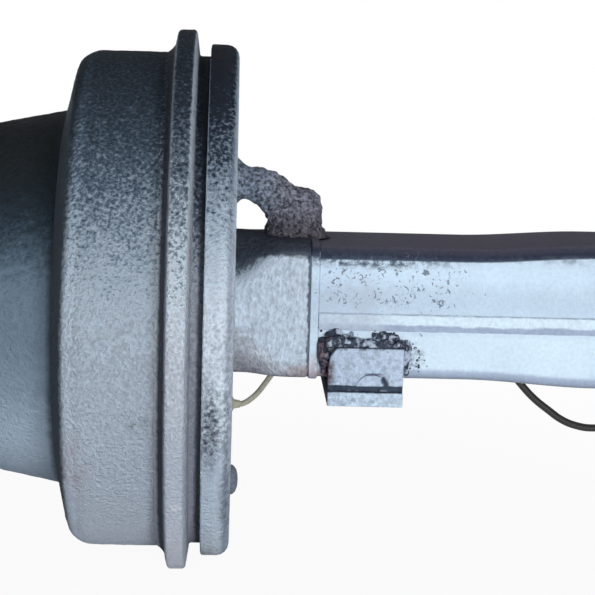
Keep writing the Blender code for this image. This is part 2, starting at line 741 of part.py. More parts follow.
def brake_spider():
    boss = bushRadius + SEAT + CAM_BOSS_WALL
    eye = ANCHOR_RADIUS + SEAT + ANCHOR_BOSS_WALL
    outline = arc((camCentre, 0.0), boss, -70.0, 70.0, 7)
    outline += arc((0.0, 0.0), SPIDER_RADIUS, 50.0, 130.0, 7)
    outline += arc((-anchorOffset, ANCHOR_RISE), eye, 100.0, 180.0, CORNER_STEPS)
    outline += arc((-anchorOffset, -ANCHOR_RISE), eye, 180.0, 260.0, CORNER_STEPS)
    outline += arc((0.0, 0.0), SPIDER_RADIUS, 230.0, 310.0, 7)
    sleeve = hole_for(SENSOR_RADIUS, SEAT, SMALL_STEPS) + SLEEVE_WALL
    loops = [
        outline,
        circle((0.0, 0.0), hole_for(COLLAR_ROUND_RADIUS, SEAT, MEDIUM_STEPS), MEDIUM_STEPS),
        circle((camCentre, 0.0), hole_for(bushRadius, SEAT, MEDIUM_STEPS), MEDIUM_STEPS),
        circle((sensorY, sensorZ), hole_for(sleeve, SEAT, SMALL_STEPS), SMALL_STEPS),
    ]
    for side in (1, -1):
        pin = hole_for(ANCHOR_RADIUS, SEAT, MEDIUM_STEPS)
        loops.append(circle((-anchorOffset, side * ANCHOR_RISE), pin, MEDIUM_STEPS))
        bolt = hole_for(COVER_BOLT_RADIUS, SEAT, SMALL_STEPS)
        loops.append(circle((COVER_BOLT_OFFSET, side * COVER_BOLT_RISE), bolt, SMALL_STEPS))
    plate("brake_spider", "cast", loops, SPIDER_SETBACK, spiderX)


def dust_cover():
    bore = hole_for(COLLAR_ROUND_RADIUS, SEAT, LARGE_STEPS)
    inner = coverRadius - COVER_THICKNESS
    centre = (coverOutX - COVER_ROUND, coverRadius - COVER_ROUND)
    profile = [(coverInX, bore)]
    profile += arc(centre, COVER_ROUND - COVER_THICKNESS, 0.0, 90.0, 3)
    profile += [(COVER_RIM_GAP, inner), (COVER_RIM_GAP, coverRadius)]
    profile += arc(centre, COVER_ROUND, 90.0, 0.0, 4)
    profile += [(coverOutX, bore)]
    cover = turned("dust_cover", "paint", profile, LARGE_STEPS)
    start = coverInX - SEAT
    end = coverOutX + SEAT
    camshaft = hole_for(CAMSHAFT_RADIUS, COVER_CAM_CLEARANCE, MEDIUM_STEPS)
    drill(cover, "cover_cam_hole", [(camCentre, 0.0)], camshaft, start, end, MEDIUM_STEPS)
    bolts = [(COVER_BOLT_OFFSET, side * COVER_BOLT_RISE) for side in (1, -1)]
    drill(cover, "cover_bolt_holes", bolts, hole_for(COVER_BOLT_RADIUS, SEAT, SMALL_STEPS), start, end)
    gland = hole_for(SENSOR_RADIUS, SEAT, SMALL_STEPS)
    drill(cover, "cover_gland_hole", [(sensorY, sensorZ)], gland, start, end)
    plug = hole_for(PLUG_RADIUS, SEAT, SMALL_STEPS)
    drill(cover, "cover_plug_hole", [(PLUG_OFFSET, -plugDrop)], plug, start, end)


def cover_fasteners():
    head_x = coverOutX + SEAT
    bolt = [
        (head_x + COVER_BOLT_HEAD_HEIGHT, 0.0),
        (head_x + COVER_BOLT_HEAD_HEIGHT, COVER_BOLT_HEAD_RADIUS),
        (head_x, COVER_BOLT_HEAD_RADIUS),
        (head_x, COVER_BOLT_RADIUS),
        (SPIDER_SETBACK, COVER_BOLT_RADIUS),
        (SPIDER_SETBACK, 0.0),
    ]
    for k, side in enumerate((1, -1)):
        place = (0.0, COVER_BOLT_OFFSET, side * COVER_BOLT_RISE)
        turned(f"dust_cover_bolt_{k + 1}", "zinc", bolt, SMALL_STEPS, place)
    plug = [
        (head_x + PLUG_HEAD_HEIGHT, 0.0),
        (head_x + PLUG_HEAD_HEIGHT, PLUG_DOME_RADIUS),
        (head_x + PLUG_HEAD_HEIGHT / 2, PLUG_HEAD_RADIUS),
        (head_x, PLUG_HEAD_RADIUS),
        (head_x, PLUG_RADIUS),
        (coverInX, PLUG_RADIUS),
        (coverInX, 0.0),
    ]
    turned("inspection_plug", "rubber", plug, SMALL_STEPS, (0.0, PLUG_OFFSET, -plugDrop))


def reaction_strut():
    """A rough bar from the cover, bent down on to the spindle's root."""
    start = coverOutX + SEAT
    foot_x = coverOutX + STRUT_FOOT_STATION
    foot_z = COLLAR_HALF + ROOT_WELD_PROUD + SEAT
    rise = STRUT_HEIGHT - foot_z
    run = foot_x - start
    points = [(start + run * along, 0.0, foot_z + rise * up) for along, up in STRUT_BEND]
    wide = STRUT_FOOT_RADIUS / STRUT_RADIUS
    scales = [*STRUT_LUMPS, wide, wide]
    tube("reaction_strut", "weld", points, STRUT_RADIUS, 4, scales)


def saddle_bracket():
    near = BEAM_HALF_DEPTH + SEAT
    far = near + SADDLE_PLATE
    floor = -BEAM_WAIST_HALF - SADDLE_CLEARANCE
    bottom = floor - SADDLE_FLOOR
    groove = floor + SADDLE_GROOVE_WIDTH
    outline = [
        (-far, -SADDLE_TOP),
        (-far, groove),
        (-far + SADDLE_GROOVE_DEPTH, groove),
        (-far + SADDLE_GROOVE_DEPTH, floor),
        (-far, floor),
        (-far, bottom),
        (far, bottom),
        (far, -SADDLE_REAR_TOP),
        (near, -SADDLE_REAR_TOP),
        (near, floor),
        (-near, floor),
        (-near, -SADDLE_TOP),
    ]
    bead = SADDLE_WELD_RADIUS + SEAT
    saddle_x = beamX + 2 * bead
    plate("saddle_bracket", "paint", [outline], saddle_x, saddle_x + SADDLE_LENGTH)
    y = -BEAM_HALF_DEPTH - bead
    left = saddle_x - bead
    right = saddle_x + SADDLE_LENGTH + bead
    top = -SADDLE_TOP + bead
    points = [
        (left, y, -BEAM_WAIST_HALF + BEAM_CORNER / 2),
        (left, y, top),
        (right, y, top),
        (right, y, -BEAM_WAIST_HALF + BEAM_CORNER / 2),
    ]
    tube("saddle_weld", "weld", points, SADDLE_WELD_RADIUS, 2)


def cam_outline():
    """An S-shaped cam: two involute flanks, half a turn apart, and the backs of their lobes."""
    first = math.pi - CAM_REST_LIFT / CAM_BASE_RADIUS
    flank = []
    for k in range(CAM_FLANK_STEPS + 1):
        turn = CAM_LOBE_TURN * (CAM_FLANK_START + (1 - CAM_FLANK_START) * k / CAM_FLANK_STEPS)
        a = first + turn
        y = CAM_BASE_RADIUS * (math.cos(a) + turn * math.sin(a))
        z = CAM_BASE_RADIUS * (math.sin(a) - turn * math.cos(a))
        flank.append((y, z))
    tip = math.hypot(*flank[-1])
    back = [(tip * math.cos(CAM_TIP_ANGLE), tip * math.sin(CAM_TIP_ANGLE))]
    back += [(-tip * across, -tip * down) for across, down in CAM_BACK]
    half = flank + back
    return half + [(-y, -z) for y, z in half]


def camshaft():
    end_x = ADJUSTER_STATION + ADJUSTER_THICKNESS + CAMSHAFT_TAIL
    cam_x = shoeX + CAM_WIDTH / 2
    at_axis = (0.0, camCentre, 0.0)
    cam = as_mesh(plate("camshaft", "steel", [cam_outline()], shoeX - CAM_WIDTH / 2, cam_x, at_axis))
    bar_x = cam_x - CAM_ROOT
    shaft = rods("camshaft_bar", [(camCentre, 0.0)], CAMSHAFT_RADIUS, bar_x, end_x, MEDIUM_STEPS)
    combine(cam, shaft, "UNION")
    bore = hole_for(CAMSHAFT_RADIUS, RUNNING, MEDIUM_STEPS)
    ring = [circle((0.0, 0.0), bushRadius, MEDIUM_STEPS), circle((0.0, 0.0), bore, MEDIUM_STEPS)]
    plate("spider_bush", "bronze", ring, SPIDER_SETBACK, spiderX, at_axis)
    bracket_end = CAM_BRACKET_STATION + CAM_BRACKET_THICKNESS
    plate("bracket_bush", "bronze", ring, CAM_BRACKET_STATION, bracket_end, at_axis)


def camshaft_bracket():
    """A plate on the beam's rear face, notched over the seam, with a boss round the camshaft."""
    base = BEAM_HALF_DEPTH + SEAT
    notch = base + SEAM_PROUD + SEAT
    notch_half = SEAM_WIDTH / 2 + SEAT
    boss = bushRadius + SEAT + CAM_BOSS_WALL / 2
    outline = [(base, -CAM_BRACKET_RISE)]
    outline += arc((camCentre, 0.0), boss, -80.0, 80.0, 8)
    outline += [(base, CAM_BRACKET_RISE), (base, SEAM_HEIGHT + notch_half), (notch, SEAM_HEIGHT + notch_half)]
    outline += [(notch, SEAM_HEIGHT - notch_half), (base, SEAM_HEIGHT - notch_half)]
    hole = circle((camCentre, 0.0), hole_for(bushRadius, SEAT, MEDIUM_STEPS), MEDIUM_STEPS)
    bracket_end = CAM_BRACKET_STATION + CAM_BRACKET_THICKNESS
    plate("camshaft_bracket", "paint", [outline, hole], CAM_BRACKET_STATION, bracket_end)


def slack_adjuster():
    """A lever on the camshaft's end, with a hole for the clevis pin."""
    lean = math.degrees(math.asin((ADJUSTER_RADIUS - ADJUSTER_END_RADIUS) / ADJUSTER_ARM))
    end = (0.0, -ADJUSTER_ARM)
    outline = arc((0.0, 0.0), ADJUSTER_RADIUS, -lean, 180.0 + lean, 14)
    outline += arc(end, ADJUSTER_END_RADIUS, 180.0 + lean, 360.0 - lean, 8)
    loops = [
        outline,
        circle((0.0, 0.0), hole_for(CAMSHAFT_RADIUS, SEAT, MEDIUM_STEPS), MEDIUM_STEPS),
        circle(end, CLEVIS_HOLE_RADIUS, SMALL_STEPS),
    ]
    at_axis = (0.0, camCentre, 0.0)
    plate("slack_adjuster", "paint", loops, ADJUSTER_STATION, ADJUSTER_STATION + ADJUSTER_THICKNESS, at_axis)


def sector(inner, outer, half_angle, side):
    """A ring segment centred above the axle, or below it."""
    middle = 90.0 * side
    half = math.degrees(half_angle)
    points = arc((0.0, 0.0), outer, middle - half, middle + half, SHOE_ARC_STEPS)
    return points + arc((0.0, 0.0), inner, middle + half, middle - half, SHOE_ARC_STEPS)


def shifted(loop, pivot):
    return [(y - pivot[0], z - pivot[1]) for y, z in loop]


def shoe_web(side, roller_y, roller_z):
    """The upper shoe's web, mirrored for the lower one: eye, spine and the jaw that holds the roller."""
    outer = tableRadius - SHOE_TABLE / 2
    inner = outer - SHOE_WEB_DEPTH
    pocket = hole_for(CAM_ROLLER_RADIUS, RUNNING, MEDIUM_STEPS)
    half = math.degrees(SHOE_HALF_ANGLE)
    jaw_z = roller_z + pocket * math.sin(math.radians(40.0))
    jaw_y = pocket * math.cos(math.radians(40.0)) + JAW_WALL
    outline = arc((0.0, 0.0), outer, 90.0 - half, 90.0 + half, SHOE_ARC_STEPS)
    eye = ANCHOR_RADIUS + RUNNING + EYE_WALL
    outline += arc((-anchorOffset, ANCHOR_RISE), eye, 120.0, 300.0, 9)
    outline += arc((0.0, 0.0), inner, 150.0, 45.0, 8)
    outline += [(roller_y - jaw_y, jaw_z)]
    outline += arc((roller_y, roller_z), pocket, 140.0, 40.0, 6)
    outline += [(roller_y + jaw_y, jaw_z)]
    return [(y, side * z) for y, z in outline]


def brake_shoe(name, side):
    roller_y = camCentre - side * CAM_BASE_RADIUS
    roller_z = CAM_REST_LIFT + CAM_ROLLER_RADIUS
    pivot = (-anchorOffset, side * ANCHOR_RISE)
    location = (0.0, *pivot)
    web_loop = shifted(shoe_web(side, roller_y, roller_z), pivot)
    eye_hole = circle((0.0, 0.0), hole_for(ANCHOR_RADIUS, RUNNING, MEDIUM_STEPS), MEDIUM_STEPS)
    half_web = SHOE_WEB / 2
    outlines = [web_loop, eye_hole]
    web = as_mesh(plate(name + "_shoe", "cast", outlines, shoeX - half_web, shoeX + half_web, location))
    table_loop = shifted(sector(tableRadius - SHOE_TABLE, tableRadius, SHOE_HALF_ANGLE, side), pivot)
    half_table = SHOE_TABLE_WIDTH / 2
    table = plate(name + "_table", "cast", [table_loop], shoeX - half_table, shoeX + half_table, location)
    combine(web, as_mesh(table), "UNION")
    peg_end = shoeX - half_web - SPRING_PEG_LENGTH
    peg_place = [(springOffset, side * SPRING_PEG_RISE)]
    combine(web, rods(name + "_peg", peg_place, SPRING_PEG_RADIUS, shoeX, peg_end, 8), "UNION")
    facing = DRUM_BORE_RADIUS - LINING_CLEARANCE
    lining_loop = shifted(sector(facing - LINING_THICKNESS, facing, LINING_HALF_ANGLE, side), pivot)
    half_lining = LINING_WIDTH / 2
    plate(name + "_lining", "lining", [lining_loop], shoeX - half_lining, shoeX + half_lining, location)
    half_roller = CAM_ROLLER_WIDTH / 2
    roller = [
        (shoeX + half_roller, 0.0),
        (shoeX + half_roller, rollerRadius),
        (shoeX - half_roller, rollerRadius),
        (shoeX - half_roller, 0.0),
    ]
    turned(name + "_roller", "steel", roller, MEDIUM_STEPS, (0.0, roller_y, side * roller_z))
    pin_end = shoeX - LINING_WIDTH / 2
    pin = [(spiderX, 0.0), (spiderX, ANCHOR_RADIUS), (pin_end, ANCHOR_RADIUS), (pin_end, 0.0)]
    turned(name + "_anchor_pin", "steel", pin, MEDIUM_STEPS, location)


def return_spring():
    """The coil that draws the shoes together, hung between their pegs."""
    x = shoeX - SHOE_WEB / 2 - SPRING_PEG_LENGTH + SPRING_RADIUS
    top = SPRING_PEG_RISE - SPRING_PEG_RADIUS - RUNNING
    coil_top = top - SPRING_END
    turns = SPRING_TURNS * SPRING_TURN_POINTS
    points = [(x + SPRING_RADIUS, springOffset, top)]
    for k in range(turns + 1):
        a = 2 * math.pi * k / SPRING_TURN_POINTS
        z = coil_top - 2 * coil_top * k / turns
        points.append((x + SPRING_RADIUS * math.cos(a), springOffset + SPRING_RADIUS * math.sin(a), z))
    points.append((x + SPRING_RADIUS, springOffset, -top))
    tube("shoe_return_spring", "steel", points, SPRING_WIRE_RADIUS, 1)
    gap = least_gap(points, SPRING_WIRE_RADIUS)
    print("shoe_return_spring least gap to itself, mm:", round(gap * 1000, 2))


def least_gap(points, radius):
    """The least clear distance between stretches of a wire that lie half a turn or more apart."""
    places = [Vector(p) for p in points]
    apart = SPRING_TURN_POINTS // 2
    pairs = [(a, b) for a in range(len(places)) for b in range(a + apart, len(places))]
    return min((places[a] - places[b]).length for a, b in pairs) - 2 * radius


def tone_ring():
    teeth = []
    for k in range(TONE_TEETH):
        for part, sunk in TONE_SHARES:
            a = 2 * math.pi * (k + part) / TONE_TEETH
            radius = toneRadius - sunk * TONE_TOOTH_DEPTH
            teeth.append((radius * math.cos(a), radius * math.sin(a)))
    bore = circle((0.0, 0.0), toneRadius - TONE_HEIGHT, LARGE_STEPS)
    plate("tone_ring", "steel", [teeth, bore], hubEndX, hubEndX - TONE_WIDTH)


def speed_sensor():
    at_sensor = (0.0, sensorY, sensorZ)
    tip_x = hubEndX + SENSOR_AIR_GAP
    body = [(coverInX - SEAT, 0.0), (coverInX - SEAT, SENSOR_RADIUS), (tip_x, SENSOR_RADIUS), (tip_x, 0.0)]
    turned("speed_sensor", "rubber", body, SMALL_STEPS, at_sensor)
    bore = hole_for(SENSOR_RADIUS, SEAT, SMALL_STEPS)
    outside = bore + SLEEVE_WALL
    sleeve_x = SPIDER_SETBACK - SLEEVE_STICKOUT
    sleeve = [(spiderX, bore), (spiderX, outside), (sleeve_x, outside), (sleeve_x, bore)]
    turned("sensor_sleeve", "steel", sleeve, SMALL_STEPS, at_sensor)
    flange_x = coverOutX + SEAT
    tail_x = flange_x + GLAND_FLANGE_THICKNESS + GLAND_TAIL_LENGTH
    gland = [
        (tail_x, 0.0),
        (tail_x, GLAND_TAIL_RADIUS),
        (flange_x + GLAND_FLANGE_THICKNESS, SENSOR_RADIUS),
        (flange_x + GLAND_FLANGE_THICKNESS, GLAND_FLANGE_RADIUS),
        (flange_x, GLAND_FLANGE_RADIUS),
        (flange_x, SENSOR_RADIUS),
        (coverInX, SENSOR_RADIUS),
        (coverInX, 0.0),
    ]
    turned("lead_gland", "rubber", gland, SMALL_STEPS, at_sensor)


def sensor_lead():
    """The lead rises behind the beam, is clipped along it, hangs in one slack loop and ends in a plug."""
    start_x = coverOutX + SEAT + GLAND_FLANGE_THICKNESS + GLAND_TAIL_LENGTH + SEAT
    end_x = CLIP_STATIONS[-1] + PLUG_LEAD
    route = [
        (start_x, sensorY, sensorZ),
        (start_x + 0.004, sensorY, sensorZ),
        (start_x + 0.0075, sensorY, sensorZ),
        (start_x + 0.013, sensorY + 0.006, sensorZ + 0.006),
        (0.0625, 0.037, -0.080),
        (0.072, 0.054, -0.070),
        (0.083, leadY - 0.001, -0.059),
        (0.096, leadY + 0.003, -0.045),
        (0.110, leadY + 0.002, -0.034),
        (0.124, leadY, LEAD_HEIGHT - 0.001),
        (CLIP_STATIONS[0] - CLIP_WIDTH, leadY, LEAD_HEIGHT),
        (CLIP_STATIONS[0] + CLIP_WIDTH, leadY, LEAD_HEIGHT),
        (CLIP_STATIONS[1] - CLIP_WIDTH, leadY, LEAD_HEIGHT),
        (CLIP_STATIONS[1] + CLIP_WIDTH * 0.7, leadY, LEAD_HEIGHT),
        (CLIP_STATIONS[1] + CLIP_WIDTH * 1.4, leadY, LEAD_HEIGHT),
        (0.268, leadY + 0.001, -0.036),
        (0.281, leadY + 0.003, -0.053),
        (0.293, leadY + 0.004, -0.073),
        (0.305, leadY + 0.004, -0.0878),
        (0.3165, leadY + 0.004, -0.0993),
        (0.3295, leadY + 0.004, -0.1093),
        (0.3432, leadY + 0.004, -0.1187),
        (0.3566, leadY + 0.004, -0.1239),
        (0.372, leadY + 0.004, -0.126),
        (0.389, leadY + 0.004, -0.1235),
        (0.405, leadY + 0.004, -0.1145),
        (0.419, leadY + 0.004, -0.099),
        (0.430, leadY + 0.003, -0.079),
        (0.439, leadY + 0.002, -0.058),
        (0.447, leadY + 0.001, -0.039),
        (CLIP_STATIONS[2] - CLIP_WIDTH * 1.4, leadY, LEAD_HEIGHT),
        (CLIP_STATIONS[2] - CLIP_WIDTH * 0.7, leadY, LEAD_HEIGHT),
        (CLIP_STATIONS[2] + CLIP_WIDTH * 0.7, leadY, LEAD_HEIGHT),
        (end_x - 0.024, (leadY + plugY) / 2, LEAD_HEIGHT),
        (end_x - 0.013, plugY, LEAD_HEIGHT),
        (end_x, plugY, LEAD_HEIGHT),
    ]
    points = smooth_route(route, LEAD_SPACING)
    tube("sensor_lead", "rubber", points, LEAD_RADIUS, 2)
    print("sensor_lead length, mm:", round(sum((b - a).length for a, b in zip(points, points[1:])) * 1000, 1))
    neck_x = end_x + SEAT
    body_x = neck_x + PLUG_NECK_LENGTH
    plug = [
        (body_x + PLUG_BODY_LENGTH, 0.0),
        (body_x + PLUG_BODY_LENGTH, PLUG_TIP_RADIUS),
        (body_x + PLUG_BODY_LENGTH / 2, PLUG_TIP_RADIUS),
        (body_x + PLUG_BODY_LENGTH / 2, PLUG_BODY_RADIUS),
        (body_x, PLUG_BODY_RADIUS),
        (neck_x, PLUG_NECK_RADIUS),
        (neck_x, 0.0),
    ]
    turned("lead_plug", "rubber", plug, SMALL_STEPS, (0.0, plugY, LEAD_HEIGHT))
    for k, station in enumerate(CLIP_STATIONS):
        lead_clip(f"lead_clip_{k + 1}", station)


def lead_clip(name, station):
    """A band round the lead with a tab that lies on the beam."""
    inner = hole_for(LEAD_RADIUS, SEAT, SMALL_STEPS)
    outer = leadY - BEAM_HALF_DEPTH - SEAT
    face = BEAM_HALF_DEPTH + SEAT
    outline = arc((leadY, LEAD_HEIGHT), outer, 180.0, 450.0, 14)
    outline += [(face + CLIP_WALL, LEAD_HEIGHT + outer), (face + CLIP_WALL, LEAD_HEIGHT + CLIP_TAB)]
    outline += [(face, LEAD_HEIGHT + CLIP_TAB)]
    loops = [outline, circle((leadY, LEAD_HEIGHT), inner, SMALL_STEPS)]
    plate(name, "zinc", loops, station - CLIP_WIDTH / 2, station + CLIP_WIDTH / 2)


beam()
spindle()
root_weld()
brake_spider()
dust_cover()
cover_fasteners()
reaction_strut()
saddle_bracket()
spindle_fittings()
bearing("inner", INNER_JOURNAL_RADIUS, innerBearingX, innerBearingEndX)
bearing("outer", OUTER_JOURNAL_RADIUS, outerBearingEndX, outerBearingX)
brake_drum()
wheel_hub()
wheel_studs()
hub_cap()
tone_ring()
camshaft()
camshaft_bracket()
slack_adjuster()
brake_shoe("upper", 1)
brake_shoe("lower", -1)
return_spring()
speed_sensor()
sensor_lead()
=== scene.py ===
import math
import random

import bmesh
import bpy
from mathutils import Matrix, Vector, noise


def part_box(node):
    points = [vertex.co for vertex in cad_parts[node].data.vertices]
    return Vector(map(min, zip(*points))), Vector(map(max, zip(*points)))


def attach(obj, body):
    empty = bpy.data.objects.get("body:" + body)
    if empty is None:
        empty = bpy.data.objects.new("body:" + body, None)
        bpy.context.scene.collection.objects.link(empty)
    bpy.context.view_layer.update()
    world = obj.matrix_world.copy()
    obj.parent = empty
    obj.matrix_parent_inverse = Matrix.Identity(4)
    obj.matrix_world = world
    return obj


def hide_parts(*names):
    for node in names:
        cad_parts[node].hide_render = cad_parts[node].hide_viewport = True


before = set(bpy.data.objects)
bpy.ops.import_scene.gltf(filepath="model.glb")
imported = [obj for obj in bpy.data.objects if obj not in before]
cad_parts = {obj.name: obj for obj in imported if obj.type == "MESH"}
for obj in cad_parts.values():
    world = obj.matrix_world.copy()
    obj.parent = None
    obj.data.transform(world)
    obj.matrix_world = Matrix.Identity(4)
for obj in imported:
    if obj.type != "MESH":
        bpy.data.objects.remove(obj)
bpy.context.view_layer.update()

axleAt = Vector((-0.4524, 0.0, -0.064))  # the axle's axis at the drum's open end, seen from the spring seat
scene = bpy.context.scene
scene.view_settings.view_transform = "Standard"


def metres(value):
    # from millimetres, through lists and tuples
    return type(value)(metres(v) for v in value) if isinstance(value, (list, tuple)) else value / 1000


def addObject(name, data):
    made = bpy.data.objects.new(name, data)
    scene.collection.objects.link(made)
    return made


# camera
view = {"at": (0.02474, -1.778, 0.28267), "yaw": 2.0, "pitch": -8.912, "roll": 1.633, "lens": 121.08, "sensor": 36.0}


def placeCamera(view):
    yaw, pitch, roll = (math.radians(view[k]) for k in ("yaw", "pitch", "roll"))
    ahead = Vector((math.sin(yaw) * math.cos(pitch), math.cos(yaw) * math.cos(pitch), math.sin(pitch)))
    level = Vector((math.cos(yaw), -math.sin(yaw), 0.0))
    lift = level.cross(ahead)
    across = level * math.cos(roll) + lift * math.sin(roll)
    upward = lift * math.cos(roll) - level * math.sin(roll)
    data = bpy.data.cameras.new("photoCamera")
    data.lens = view["lens"]
    data.sensor_width = view["sensor"]
    camera = addObject("photoCamera", data)
    turn = Matrix((across, upward, -ahead)).transposed().to_4x4()
    camera.matrix_world = Matrix.Translation(Vector(view["at"]) + axleAt) @ turn
    scene.camera = camera


placeCamera(view)
print("camera placed")


# nodes of the finishes
def addNode(tree, kind, feeds=None, **settings):
    made = tree.nodes.new(kind)
    for key, value in settings.items():
        setattr(made, key, value)
    for key, value in (feeds or {}).items():
        if isinstance(value, bpy.types.NodeSocket):
            tree.links.new(value, made.inputs[key])
        else:
            made.inputs[key].default_value = value
    return made


def mixColour(tree, share, first, second, blend="MIX"):
    feeds = {0: share, 6: first, 7: second}
    return addNode(tree, "ShaderNodeMix", feeds, data_type="RGBA", blend_type=blend).outputs[2]


def mapTo(tree, value, low, high, toLow=0.0, toHigh=1.0):
    feeds = {"Value": value, "From Min": low, "From Max": high, "To Min": toLow, "To Max": toHigh}
    return addNode(tree, "ShaderNodeMapRange", feeds, clamp=True).outputs[0]


def sums(tree, operation, first, second):
    return addNode(tree, "ShaderNodeMath", {0: first, 1: second}, operation=operation).outputs[0]


def vectorSums(tree, operation, first, second=(0.0, 0.0, 0.0)):
    return addNode(tree, "ShaderNodeVectorMath", {0: first, 1: second}, operation=operation).outputs


def noiseAt(tree, spot, scale, detail=4.0, roughness=0.55, distortion=0.0):
    feeds = {"Vector": spot, "Scale": scale, "Detail": detail, "Roughness": roughness, "Distortion": distortion}
    return addNode(tree, "ShaderNodeTexNoise", feeds).outputs[0]


def rgba(colour):
    # from thousandths
    return (*(c / 1000 for c in colour), 1.0)


def nearSpot(tree, spot, place, size):
    # 1 at a place on the axle, 0 from size away, both in millimetres
    moved = vectorSums(tree, "SUBTRACT", spot, Vector(metres(place)) + axleAt)[0]
    scaled = vectorSums(tree, "MULTIPLY", moved, [1.0 / s for s in metres(size)])[0]
    return mapTo(tree, vectorSums(tree, "LENGTH", scaled)["Value"], 1.0, 0.0)


def toneRamp(tree, value, paintedShadeTones):
    # painted shade by facing: colours run from the underside, -1, to the top, 1
    made = addNode(tree, "ShaderNodeValToRGB", {0: mapTo(tree, value, -1.0, 1.0)})
    stops = made.color_ramp.elements
    for k, (level, *colour) in enumerate(paintedShadeTones):
        stop = stops[k] if k < 2 else stops.new(1.0)
        stop.position = 0.5 + 0.5 * level
        stop.color = rgba(colour)
    return made.outputs[0]


def fromNoise(tree, field, low, high):
    # noise seldom leaves 0.3 to 0.7
    return mapTo(tree, field, 0.3, 0.7, low, high)


def zone(start, end, tint, axis=0, soft=1, share=1.0, wander=0.8, scale=120.0, lean=0.0, blend="MIX"):
    # another colour on a stretch along X, or along Z with axis 2
    start, end, soft, wander = metres((start, end, soft, wander))

    def add(tree, spot, colour):
        place = addNode(tree, "ShaderNodeSeparateXYZ", {0: spot}).outputs
        along = sums(tree, "SUBTRACT", place[axis], axleAt[axis])
        if lean:  # further right above the axle
            above = sums(tree, "MAXIMUM", sums(tree, "SUBTRACT", place[2], axleAt[2]), 0.0)
            along = sums(tree, "SUBTRACT", along, sums(tree, "MULTIPLY", above, lean))
        along = sums(tree, "ADD", along, fromNoise(tree, noiseAt(tree, spot, scale), -wander, wander))
        rise = mapTo(tree, along, start - soft, start + soft)
        fall = mapTo(tree, along, end + soft, end - soft)
        inside = sums(tree, "MULTIPLY", sums(tree, "MULTIPLY", rise, fall), share)
        return mixColour(tree, inside, colour, rgba(tint), blend)
    return add


def shade(*stretch, **more):
    return zone(*stretch, blend="MULTIPLY", **more)


def stainAndShade(place, size, share, tint, scale=90.0, cut=0.38):
    # a ragged spot of another colour, for stains and for painted shade
    def add(tree, spot, colour):
        ragged = mapTo(tree, noiseAt(tree, spot, scale, 5.0, 0.65), cut, cut + 0.2)
        near = mapTo(tree, nearSpot(tree, spot, place, size), 0.0, 0.6)
        inside = sums(tree, "MULTIPLY", sums(tree, "MULTIPLY", ragged, near), share)
        return mixColour(tree, inside, colour, rgba(tint))
    return add


def flakes(place, size, tint):
    # small dark marks where the paint has lifted
    def add(tree, spot, colour):
        field = noiseAt(tree, spot, 210.0, 4.0, 0.6, 1.0)
        cut = mapTo(tree, nearSpot(tree, spot, place, size), 0.0, 0.4, 0.26, 0.41)
        inside = mapTo(tree, sums(tree, "SUBTRACT", cut, field), 0.0, 0.03, 0.0, 0.85)
        return mixColour(tree, inside, colour, rgba(tint))
    return add


paints = {}


def makeFinish(name, paintedShadeTones=(), colour=None, marks=(), ragged=0.08, stretch=(1.0, 1.0, 1.0), mottle=0.08, pits=0.1,
               blotchScale=14.0, speckScale=300.0, grainScale=900.0, grainHeight=0.3, streaks=None, streakScale=130.0,
               streakFrom=0.53, bump=0.5, bumpDepth=0.001, roughLow=0.5, roughHigh=0.68, specular=0.1, metallic=0.0):
    finish = bpy.data.materials.new(name)
    finish.diffuse_color = rgba(paintedShadeTones[1][1:] if paintedShadeTones else colour)
    finish.use_nodes = True
    tree = finish.node_tree
    tree.nodes.clear()
    coords = addNode(tree, "ShaderNodeTexCoord").outputs
    spot = coords["Object"]
    blotch = noiseAt(tree, spot, blotchScale, 5.0, 0.6)
    speck = noiseAt(tree, vectorSums(tree, "MULTIPLY", spot, stretch)[0], speckScale, 3.0, 0.65)
    grain = noiseAt(tree, spot, grainScale, 2.0, 0.6)
    if paintedShadeTones:  # painted shade: darker where the surface faces up, lighter where it faces down
        level = addNode(tree, "ShaderNodeSeparateXYZ", {0: coords["Normal"]}).outputs[2]
        # speckle breaks the painted shade's edge into flecks, painted light on raised grains
        level = sums(tree, "ADD", level, fromNoise(tree, speck, -ragged, ragged))
        if ragged > 0.05:  # the painted shade's edge also wanders on a larger scale
            level = sums(tree, "ADD", level, fromNoise(tree, blotch, -0.05, 0.05))
        colour = toneRamp(tree, level, paintedShadeTones)
    else:
        colour = rgba(colour)
    for mark in marks:
        colour = mark(tree, spot, colour)
    height = sums(tree, "ADD", sums(tree, "MULTIPLY", grain, grainHeight), speck)
    if streaks:  # painted shade: dark crevices between pale lumps, also sunk into the height
        field = noiseAt(tree, spot, streakScale, 3.0, 0.55, 1.4)
        creviceShade = mapTo(tree, field, streakFrom, streakFrom - 0.1, 0.0, 0.95)
        colour = mixColour(tree, creviceShade, colour, rgba(streaks))
        height = sums(tree, "SUBTRACT", height, creviceShade)
    colour = mixColour(tree, 1.0, colour, fromNoise(tree, blotch, 1.0 - mottle, 1.0 + mottle), "MULTIPLY")
    colour = mixColour(tree, 1.0, colour, mapTo(tree, speck, 0.37, 0.63, 1.0 - pits, 1.0 + pits), "MULTIPLY")
    relief = addNode(tree, "ShaderNodeBump", {"Strength": bump, "Distance": bumpDepth, "Height": height})
    shader = addNode(tree, "ShaderNodeBsdfPrincipled", {
        "Base Color": colour, "Roughness": fromNoise(tree, blotch, roughLow, roughHigh),
        "Normal": relief.outputs[0], "Metallic": metallic, "Specular IOR Level": specular})
    addNode(tree, "ShaderNodeOutputMaterial", {0: shader.outputs[0]})
    paints[name] = finish


